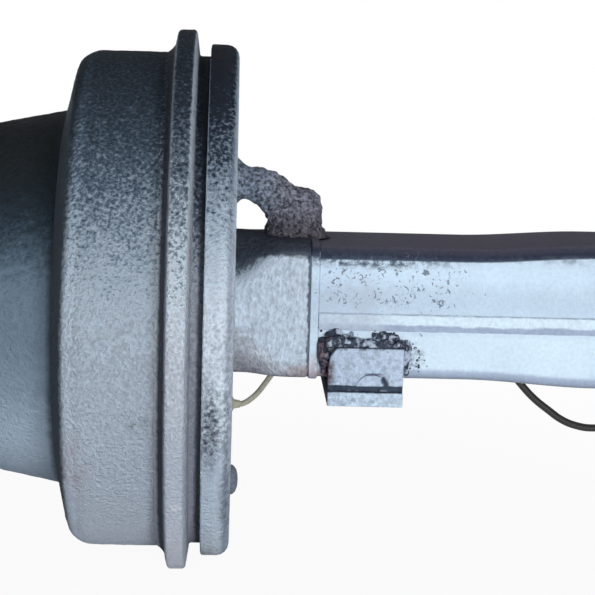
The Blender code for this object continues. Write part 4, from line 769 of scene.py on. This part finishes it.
for name, node, side in (("upperChannel", "upper_beam_channel", 1), ("lowerChannel", "lower_beam_channel", -1)):
    finishPiece(name, makeChannel(side), "beamPaint", "axle", [node], sharp=50.0)

# seam beads, flat and ground along the middle
seam = {
    "low": -0.015, "high": 0.0005, "inner": 0.0596, "toe": 0.0604, "crown": 0.0603 + 0.0016, "edge": 0.0014,
    "soft": 0.0007, "cuts": 150, "skin": (0.0004, 0.006)}
for name, node, side in (("frontSeam", "front_seam_weld", -1), ("rearSeam", "rear_seam_weld", 1)):
    inner, toe, crown = (side * seam[k] for k in ("inner", "toe", "crown"))
    outline = [(inner, seam["low"]), (toe, seam["low"]), (crown, seam["low"] + seam["edge"] * 3.5),
               (crown, seam["high"] - seam["edge"]), (toe, seam["high"]), (inner, seam["high"])]
    bm = plateShape(outline, beam["start"], beam["start"] + beam["length"], seam["soft"])
    cutEvenly(bm, beam["start"], beam["length"], seam["cuts"])
    roughen(bm, *seam["skin"], 2.0 + side)
    finishPiece(name, bm, "seamMetal", "axle", [node])

# root weld, a narrow ground ring with a groove on its left
ring = {
    "steps": 96, "power": 12.5, "skin": (0.0002, 0.008, 4.4),
    "sections": metres([(96.1, 59.8), (96.7, 60.6), (100, 60.8), (103.1, 60.6), (103.7, 59.7)])}
bm = squareRings([(x, half, ring["power"]) for x, half in ring["sections"]], ring["steps"], capped=False)
roughen(bm, *ring["skin"])
finishPiece("rootRing", bm, "beamPaint", "axle", ["root_weld"])

# strut, a lumpy elbow; each section has its outer point, its inner point and its half width
strut = {
    "steps": 80, "between": 5, "skins": [(0.0022, 0.013, 9.1), (0.0012, 0.0045, 4.2)],
    "calm": 0.25, "calmTo": 0.04, "calmOver": 0.02,
    "sections": metres([((30.1, 129), (30.1, 87), 21), ((35, 124.5), (34.5, 91.2), 17.5),
        ((41.3, 120.7), (40, 91.2), 15.8), ((50.2, 120.5), (45.5, 88), 16.5), ((59.1, 117.8), (49.5, 85), 17.2),
        ((68.1, 113), (53, 81.5), 17.8), ((77.2, 106.5), (55.5, 78.5), 18), ((86.2, 103), (57, 76), 18.8),
        ((95.5, 101.8), (57.8, 74.5), 19.8), ((102.2, 96.5), (58.3, 73.2), 20.8), ((105.5, 89.5), (58.2, 71.8), 21.4),
        ((106.8, 81.6), (57.8, 70), 22), ((106.4, 71.5), (57, 67.5), 22.8), ((109.5, 64.5), (55.5, 63.5), 24.5),
        ((115, 59.7), (54.5, 59), 26.5)])}


def strutSkin(spot):
    # calmer next to the cover
    far = min(1.0, max(0.0, (spot.x - strut["calmTo"]) / strut["calmOver"]))
    return strut["calm"] + (1.0 - strut["calm"]) * far


def makeStrut(strut):
    rings = []
    rows = [Vector((*outer, *inner)) for outer, inner, half in strut["sections"]]
    halves = [half for outer, inner, half in strut["sections"]]
    for k in range((len(rows) - 1) * strut["between"] + 1):
        i, t = divmod(k / strut["between"], 1.0)
        i = int(i)
        row = curveAt(*(rows[min(max(i + step, 0), len(rows) - 1)] for step in (-1, 0, 1, 2)), t)
        outer, inner = Vector((row[0], 0.0, row[1])), Vector((row[2], 0.0, row[3]))
        reach = (outer - inner) / 2
        across = Vector((0.0, halves[i] * (1 - t) + halves[min(i + 1, len(halves) - 1)] * t, 0.0))
        turn = Matrix((reach, across, reach.cross(across).normalized())).transposed().to_4x4()
        rings.append(Matrix.Translation((outer + inner) / 2) @ turn)
    bm = bridgedRings(rings, strut["steps"])
    for skin in strut["skins"]:
        roughen(bm, *skin, strutSkin)
    return bm


finishPiece("strutBar", makeStrut(strut), "strutMetal", "axle", ["reaction_strut"], merge=0)
print("beam, root and strut made")

# saddle bracket, folded plate with a groove above its floor
saddle = {
    "start": 0.1125, "length": 0.066, "soft": 0.0012,
    "outline": metres([(-72.3, -28), (-72.3, -62.3), (-68.3, -62.3), (-68.3, -67.3), (-72.3, -67.3), (-72.3, -80.3),
        (72.3, -80.3), (72.3, -38), (60.3, -38), (60.3, -67.3), (-60.3, -67.3), (-60.3, -28)]),
    "corner": metres([((112.5, -45), (114.7, -35.5)), ((114.7, -35.5), (120.5, -27.5))])}
bm = plateShape(saddle["outline"], saddle["start"], saddle["start"] + saddle["length"])
for (x0, z0), (x1, z1) in saddle["corner"]:
    cutAcross(bm, (x0, 0.0, z0), (z0 - z1, 0.0, x1 - x0), clear_outer=True)
    bmesh.ops.holes_fill(bm, edges=[e for e in bm.edges if e.is_boundary])
softenEdges(bm, saddle["soft"])
finishPiece("saddlePlate", bm, "saddlePaint", "axle", ["saddle_bracket"])

lip = {
    "back": -0.072, "front": -0.0737, "soft": 0.0006,
    "outline": metres([(137, -62), (141.3, -54.5), (146, -51.8), (153, -51.2), (159, -53), (162.5, -57), (164.8, -62)])}
bm = bmesh.new()
face = bm.faces.new([bm.verts.new((x, lip["back"], z)) for x, z in lip["outline"]])
pushOut(bm, [face], (0, lip["front"] - lip["back"], 0))
softenEdges(bm, lip["soft"])
finishPiece("saddleLip", bm, "saddlePaint", "axle")

# weld round the saddle, in passes that are thick and thin
bead = {"spacing": 0.0012, "swell": (0.7, 1.25), "every": 4, "ends": 0.4, "steps": 24, "top": -0.025, "reach": 0.003}


def unevenBead(route, radius, seed, lumps, lumpSize):
    rng = random.Random(seed)
    points = smoothRoute(route, bead["spacing"])
    swell = [rng.uniform(*bead["swell"]) for k in range(len(points) // bead["every"] + 3)]
    radii = []
    for k in range(len(points)):
        i, t = divmod(k / bead["every"], 1.0)
        radii.append(radius * (swell[int(i)] * (1 - t) + swell[int(i) + 1] * t))
    radii[0], radii[-1] = radii[0] * bead["ends"], radii[-1] * bead["ends"]
    bm = sweptShape(points, radii, bead["steps"])
    roughen(bm, lumps, lumpSize, seed * 0.37)
    return bm


def makeSaddleWeld(saddle):
    # along the top edge and down both sides
    left, right = saddle["start"] - bead["reach"], saddle["start"] + saddle["length"] + bead["reach"]
    top = bead["top"]
    rng = random.Random(41)
    run = [(left + (right - left) * k / 9, -0.0662 - rng.uniform(0, 0.001), top + rng.uniform(-0.0022, 0.0012))
           for k in range(10)]
    upper = [(x + 0.001, -0.0606, z + 0.0062 + rng.uniform(-0.0022, 0.0022)) for x, y, z in run]
    leftSide = [(left - 0.001, -0.062, -0.021), (left - 0.002, -0.0632, -0.029), (left - 0.0008, -0.0634, -0.038),
                (left, -0.063, -0.047), (left, -0.0615, -0.0535)]
    rightSide = [(right, -0.063, top + 0.003), (right + 0.0006, -0.0628, -0.034), (right - 0.0006, -0.0622, -0.044),
                 (right, -0.061, -0.0535)]
    bm = bmesh.new()
    for laid in ((run, 0.0043, 11, 0.0013, 0.006), (upper[0:4], 0.0036, 12, 0.0012, 0.005),
                 (upper[5:9], 0.0034, 15, 0.0012, 0.005), (leftSide, 0.0042, 13, 0.0013, 0.006),
                 (rightSide, 0.003, 14, 0.001, 0.006)):
        mergeInto(bm, unevenBead(*laid))
    return bm


finishPiece("saddleBead", makeSaddleWeld(saddle), "weldMetal", "axle", ["saddle_weld"], sharp=60.0, merge=0)


def scatterDrops(bm, seed, count, spread, centre, size):
    # drops of weld metal stuck to the beam's front
    rng = random.Random(seed)
    for k in range(count):
        radius = rng.uniform(0.35, 1.0) * size
        spot = (centre[0] + rng.gauss(0, spread[0]), centre[1], centre[2] + rng.gauss(0, spread[1]))
        drop = bmesh.ops.create_icosphere(bm, subdivisions=1, radius=radius, matrix=Matrix.Translation(spot))
        for vert in drop["verts"]:
            vert.co.y = spot[1] + (vert.co.y - spot[1]) * 0.6


bm = bmesh.new()
scatterDrops(bm, 5, 22, (0.03, 0.005), (0.15, -0.0601, -0.014), 0.0013)
scatterDrops(bm, 6, 16, (0.005, 0.006), (0.19, -0.0601, -0.04), 0.0015)
finishPiece("weldSpatter", bm, "weldMetal", "axle", sharp=60.0, merge=0)
print("saddle made")

# camshaft with its cam and snap ring
cam = {
    "at": 0.14, "base": 0.012, "lift": 0.014, "lobe": 1.85, "width": 0.072, "middle": -0.052, "heel": 170.0,
    "back": ((0.86, 0.16), (0.55, 0.45), (0.2, 0.52)),
    "bar": metres([(-20, 0), (-20, 18), (397, 18), (397, 16.5, 0.4), (400.5, 16.5, 0.4), (400.5, 18, 0.4),
        (432.5, 18, 0.3), (432.5, 16.2), (434.5, 16.2), (434.5, 18, 0.3), (442, 18, 1.5), (442, 0)]),
    "snapRing": metres([(432.7, 16.4), (432.7, 21.5, 0.3), (434.3, 21.5, 0.3), (434.3, 16.4)])}
camAt = (0.0, cam["at"], 0.0)


def camOutline(cam):
    first = math.pi - cam["lift"] / cam["base"]
    half = []
    for k in range(17):
        turn = cam["lobe"] * (0.15 + 0.85 * k / 16)
        c, s = math.cos(first + turn), math.sin(first + turn)
        half.append((cam["base"] * (c + turn * s), cam["base"] * (s - turn * c)))
    tip, heel = math.hypot(*half[-1]), math.radians(cam["heel"])
    half += [(tip * math.cos(heel), tip * math.sin(heel))] + [(-tip * a, -tip * b) for a, b in cam["back"]]
    return [(y + cam["at"], z) for y, z in half + [(-y, -z) for y, z in half]]


bm = plateShape(camOutline(cam), cam["middle"] - cam["width"] / 2, cam["middle"] + cam["width"] / 2)
mergeInto(bm, turnedShape(cam["bar"], 64, place=camAt))
finishPiece("camshaftBar", bm, "groundSteel", "cam", ["camshaft"], merge=0)
finishPiece("snapRing", turnedShape(cam["snapRing"], 48, place=camAt), "zincPlate", "cam")

# camshaft bracket, notched for the seam, with a bead on each side of its foot
bracket = {
    "start": 0.355, "end": 0.369, "boss": 0.0327, "foot": 0.0603, "soft": 0.0012,
    "notch": metres([(60.3, 0.8), (62.8, 0.8), (62.8, -12.8), (60.3, -12.8)]),
    "collar": metres([(353.5, 24.8), (353.5, 29.5, 1), (355.2, 29.5), (355.2, 24.8)]),
    "beads": metres([((62.2, -43), (62.4, -30), (62.4, -16.5)), ((62.2, 43), (62.4, 24), (62.4, 4.5))]),
    "beadAway": 0.0022, "beadRadius": 0.0032, "beadSpacing": 0.003, "scatter": 0.2}
outline = [(bracket["foot"], -0.045)] + roundAbout((cam["at"], 0.0), bracket["boss"], -80, 80, 32)
outline += [(bracket["foot"], 0.045)] + bracket["notch"]
bm = plateShape(outline, bracket["start"], bracket["end"], bracket["soft"])
mergeInto(bm, turnedShape(bracket["collar"], 48, place=camAt))
finishPiece("camBracket", bm, "gearPaint", "axle", ["camshaft_bracket"], merge=0)


def lumpChain(bm, points, seed):
    # a bead laid down drop by drop
    rng = random.Random(seed)
    radius, scatter = bracket["beadRadius"], bracket["scatter"]
    for point in smoothRoute(points, bracket["beadSpacing"]):
        size = radius * rng.uniform(0.8, 1.2)
        aside = Vector([rng.uniform(-scatter, scatter) * radius for k in range(3)])
        bmesh.ops.create_icosphere(bm, subdivisions=2, radius=size, matrix=Matrix.Translation(point + aside))


bm = bmesh.new()
for x in (bracket["start"] - bracket["beadAway"], bracket["end"] + bracket["beadAway"]):
    for points, seed in zip(bracket["beads"], (21, 22)):
        lumpChain(bm, [(x, y, z) for y, z in points], seed)
finishPiece("bracketBead", bm, "weldMetal", "axle", sharp=60.0, merge=0)

# slack adjuster with its screw and grease nipple
adjuster = {
    "start": 0.405, "end": 0.43, "inset": 0.004, "soft": 0.003, "arm": 0.15, "big": 0.038, "small": 0.016,
    "hub": metres([(405, 18.2), (405, 30, 1.5), (430, 30, 1.5), (430, 18.2)]),
    "eye": metres([(405, 7.1), (405, 12.8, 1), (430, 12.8, 1), (430, 7.1)]),
    "screwRadius": 0.0085, "screwHeight": 0.008, "screwAt": (0.4175, cam["at"] - 0.0345, -0.04),
    "nippleAt": (0.4255, cam["at"], -0.06),
    "nipple": metres([(0, 0), (0, 4.8, 0.4), (5, 4.8, 0.4), (5, 2.2), (9, 2.2), (10.5, 3, 0.4), (12, 3, 0.6),
        (13.5, 0)])}


def makeAdjuster(adjuster):
    arm, big, small = adjuster["arm"], adjuster["big"], adjuster["small"]
    lean = math.degrees(math.asin((big - small) / arm))
    outline = roundAbout((0.0, 0.0), big, -lean, 180 + lean, 40)
    outline += roundAbout((0.0, -arm), small, 180 + lean, 360 - lean, 20)
    start, end = adjuster["start"] + adjuster["inset"], adjuster["end"] - adjuster["inset"]
    bm = plateShape(outline, start, end, adjuster["soft"])
    mergeInto(bm, turnedShape(adjuster["hub"], 56))
    mergeInto(bm, turnedShape(adjuster["eye"], 40, place=(0.0, 0.0, -arm)))
    shift(bm, camAt)
    return bm


finishPiece("adjusterLever", makeAdjuster(adjuster), "gearPaint", "cam", ["slack_adjuster"], merge=0)
bm = hexHead((0.0, 0.0, 0.0), adjuster["screwRadius"], 0.0, adjuster["screwHeight"])
layAcross(bm, adjuster["screwAt"])
finishPiece("adjusterScrew", bm, "zincPlate", "cam")
bm = turnedShape(adjuster["nipple"], 24, place=adjuster["nippleAt"])
finishPiece("greaseNipple", bm, "zincPlate", "cam")

# clips that hold the lead behind the beam
clip = {
    "stations": (0.152, 0.235, 0.47), "width": 0.012, "outer": 0.0053, "foot": (0.0603, 0.0618), "height": 0.013,
    "soft": 0.0004, "screw": metres([(0, 0), (0, 3.4, 0.3), (2.2, 3, 0.6), (2.4, 0)]),
    "screwAt": (0.0617, leadZ + 0.0094)}


def makeClip(clip, station):
    near, far = clip["foot"]
    top = leadZ + clip["height"]
    outline = roundAbout((leadY, leadZ), clip["outer"], 180, 450, 40)
    outline += [(far, leadZ + clip["outer"]), (far, top), (near, top)]
    bm = plateShape(outline, station - clip["width"] / 2, station + clip["width"] / 2, clip["soft"])
    head = turnedShape(clip["screw"], 24)
    layAcross(head, (station, *clip["screwAt"]))
    mergeInto(bm, head)
    return bm


for k, station in enumerate(clip["stations"]):
    bm = makeClip(clip, station)
    finishPiece("leadClip%d" % (k + 1), bm, "zincPlate", "axle", ["lead_clip_%d" % (k + 1)], merge=0)
print("brake gear and clips made")

# nodes that keep their own shape
kept = {
    "roughCast": ["brake_spider", "upper_shoe", "lower_shoe"],
    "frictionLining": ["upper_lining", "lower_lining"],
    "groundSteel": [
        "upper_anchor_pin", "lower_anchor_pin", "inner_bearing_cone", "outer_bearing_cone", "inner_bearing_cup",
        "outer_bearing_cup", "inner_bearing_rollers", "outer_bearing_rollers", "tone_ring", "thrust_washer",
        "sensor_sleeve", "upper_roller", "lower_roller", "shoe_return_spring"],
    "zincPlate": ["axle_nut"],
    "blackRubber": ["hub_seal", "speed_sensor"],
    "bushBronze": ["spider_bush", "bracket_bush"],
}
for finish, nodes in kept.items():
    for node in nodes:
        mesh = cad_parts[node].data
        mesh.materials.clear()
        mesh.materials.append(paints[finish])

# floor, white to the camera apart from a soft shadow
floor = {"height": -0.2405, "size": 12.0, "grey": 800, "middle": -0.08, "shadow": 0.06, "fade": (0.5, 1.5)}
white = {"Color": (1.0, 1.0, 1.0, 1.0), "Strength": 1.0}


def seenStraight(tree):
    path = addNode(tree, "ShaderNodeLightPath").outputs
    mirrored = sums(tree, "MAXIMUM", path["Is Camera Ray"], path["Is Glossy Ray"])
    return sums(tree, "MAXIMUM", mirrored, path["Is Transmission Ray"])


def makeFloor(floor):
    bm = bmesh.new()
    bmesh.ops.create_grid(bm, x_segments=1, y_segments=1, size=floor["size"])
    shift(bm, (0.0, 0.0, floor["height"] + axleAt.z))
    mesh = bpy.data.meshes.new("paleFloor")
    bm.to_mesh(mesh)
    bm.free()
    paper = bpy.data.materials.new("palePaper")
    paper.use_nodes = True
    tree = paper.node_tree
    tree.nodes.clear()
    plain = addNode(tree, "ShaderNodeBsdfDiffuse", {"Color": rgba([floor["grey"]] * 3)}).outputs[0]
    bright = addNode(tree, "ShaderNodeEmission", white).outputs[0]
    spot = addNode(tree, "ShaderNodeTexCoord").outputs["Object"]
    middle = Vector((floor["middle"], 0.0, floor["height"])) + axleAt
    away = vectorSums(tree, "DISTANCE", spot, middle)["Value"]
    paleness = mapTo(tree, away, *floor["fade"], 1.0 - floor["shadow"], 1.0)
    share = sums(tree, "MULTIPLY", seenStraight(tree), paleness)
    mixed = addNode(tree, "ShaderNodeMixShader", {0: share, 1: plain, 2: bright})
    addNode(tree, "ShaderNodeOutputMaterial", {0: mixed.outputs[0]})
    mesh.materials.append(paper)
    piece = addObject("paleFloor", mesh)


makeFloor(floor)

# light; each lamp has its place, its target, its size and its power
light = {"world": 0.2, "tint": (950, 970, 1000), "lamps": {
    "keyLamp": ((0.75, -2.3, -0.03), (0.05, 0.0, -0.03), (0.8, 0.35), 36.0),
    "fillLamp": ((-1.0, -1.8, 0.05), (-0.05, 0.0, 0.0), (1.0, 0.8), 8.0),
    "topLamp": ((0.0, 0.3, 2.2), (0.0, 0.0, 0.0), (1.6, 1.6), 4.0),
    "rearLamp": ((-0.7, 2.3, 0.0), (0.0, 0.0, 0.0), (1.2, 0.5), 14.0)}}


def makeWorld(light):
    world = bpy.data.worlds.new("studioWorld")
    world.use_nodes = True
    tree = world.node_tree
    tree.nodes.clear()
    soft = {"Color": rgba(light["tint"]), "Strength": light["world"]}
    feeds = [addNode(tree, "ShaderNodeBackground", look).outputs[0] for look in (soft, white)]
    mixed = addNode(tree, "ShaderNodeMixShader", {0: seenStraight(tree), 1: feeds[0], 2: feeds[1]})
    addNode(tree, "ShaderNodeOutputWorld", {0: mixed.outputs[0]})
    scene.world = world


def makeLamp(name, at, target, size, power):
    data = bpy.data.lights.new(name, "AREA")
    data.shape = "RECTANGLE"
    data.size, data.size_y = size
    data.energy = power
    at, target = Vector(at) + axleAt, Vector(target) + axleAt
    turn = (target - at).to_track_quat("-Z", "Y").to_matrix().to_4x4()
    addObject(name, data).matrix_world = Matrix.Translation(at) @ turn


makeWorld(light)
for name, settings in light["lamps"].items():
    makeLamp(name, *settings)

print("scene ready")
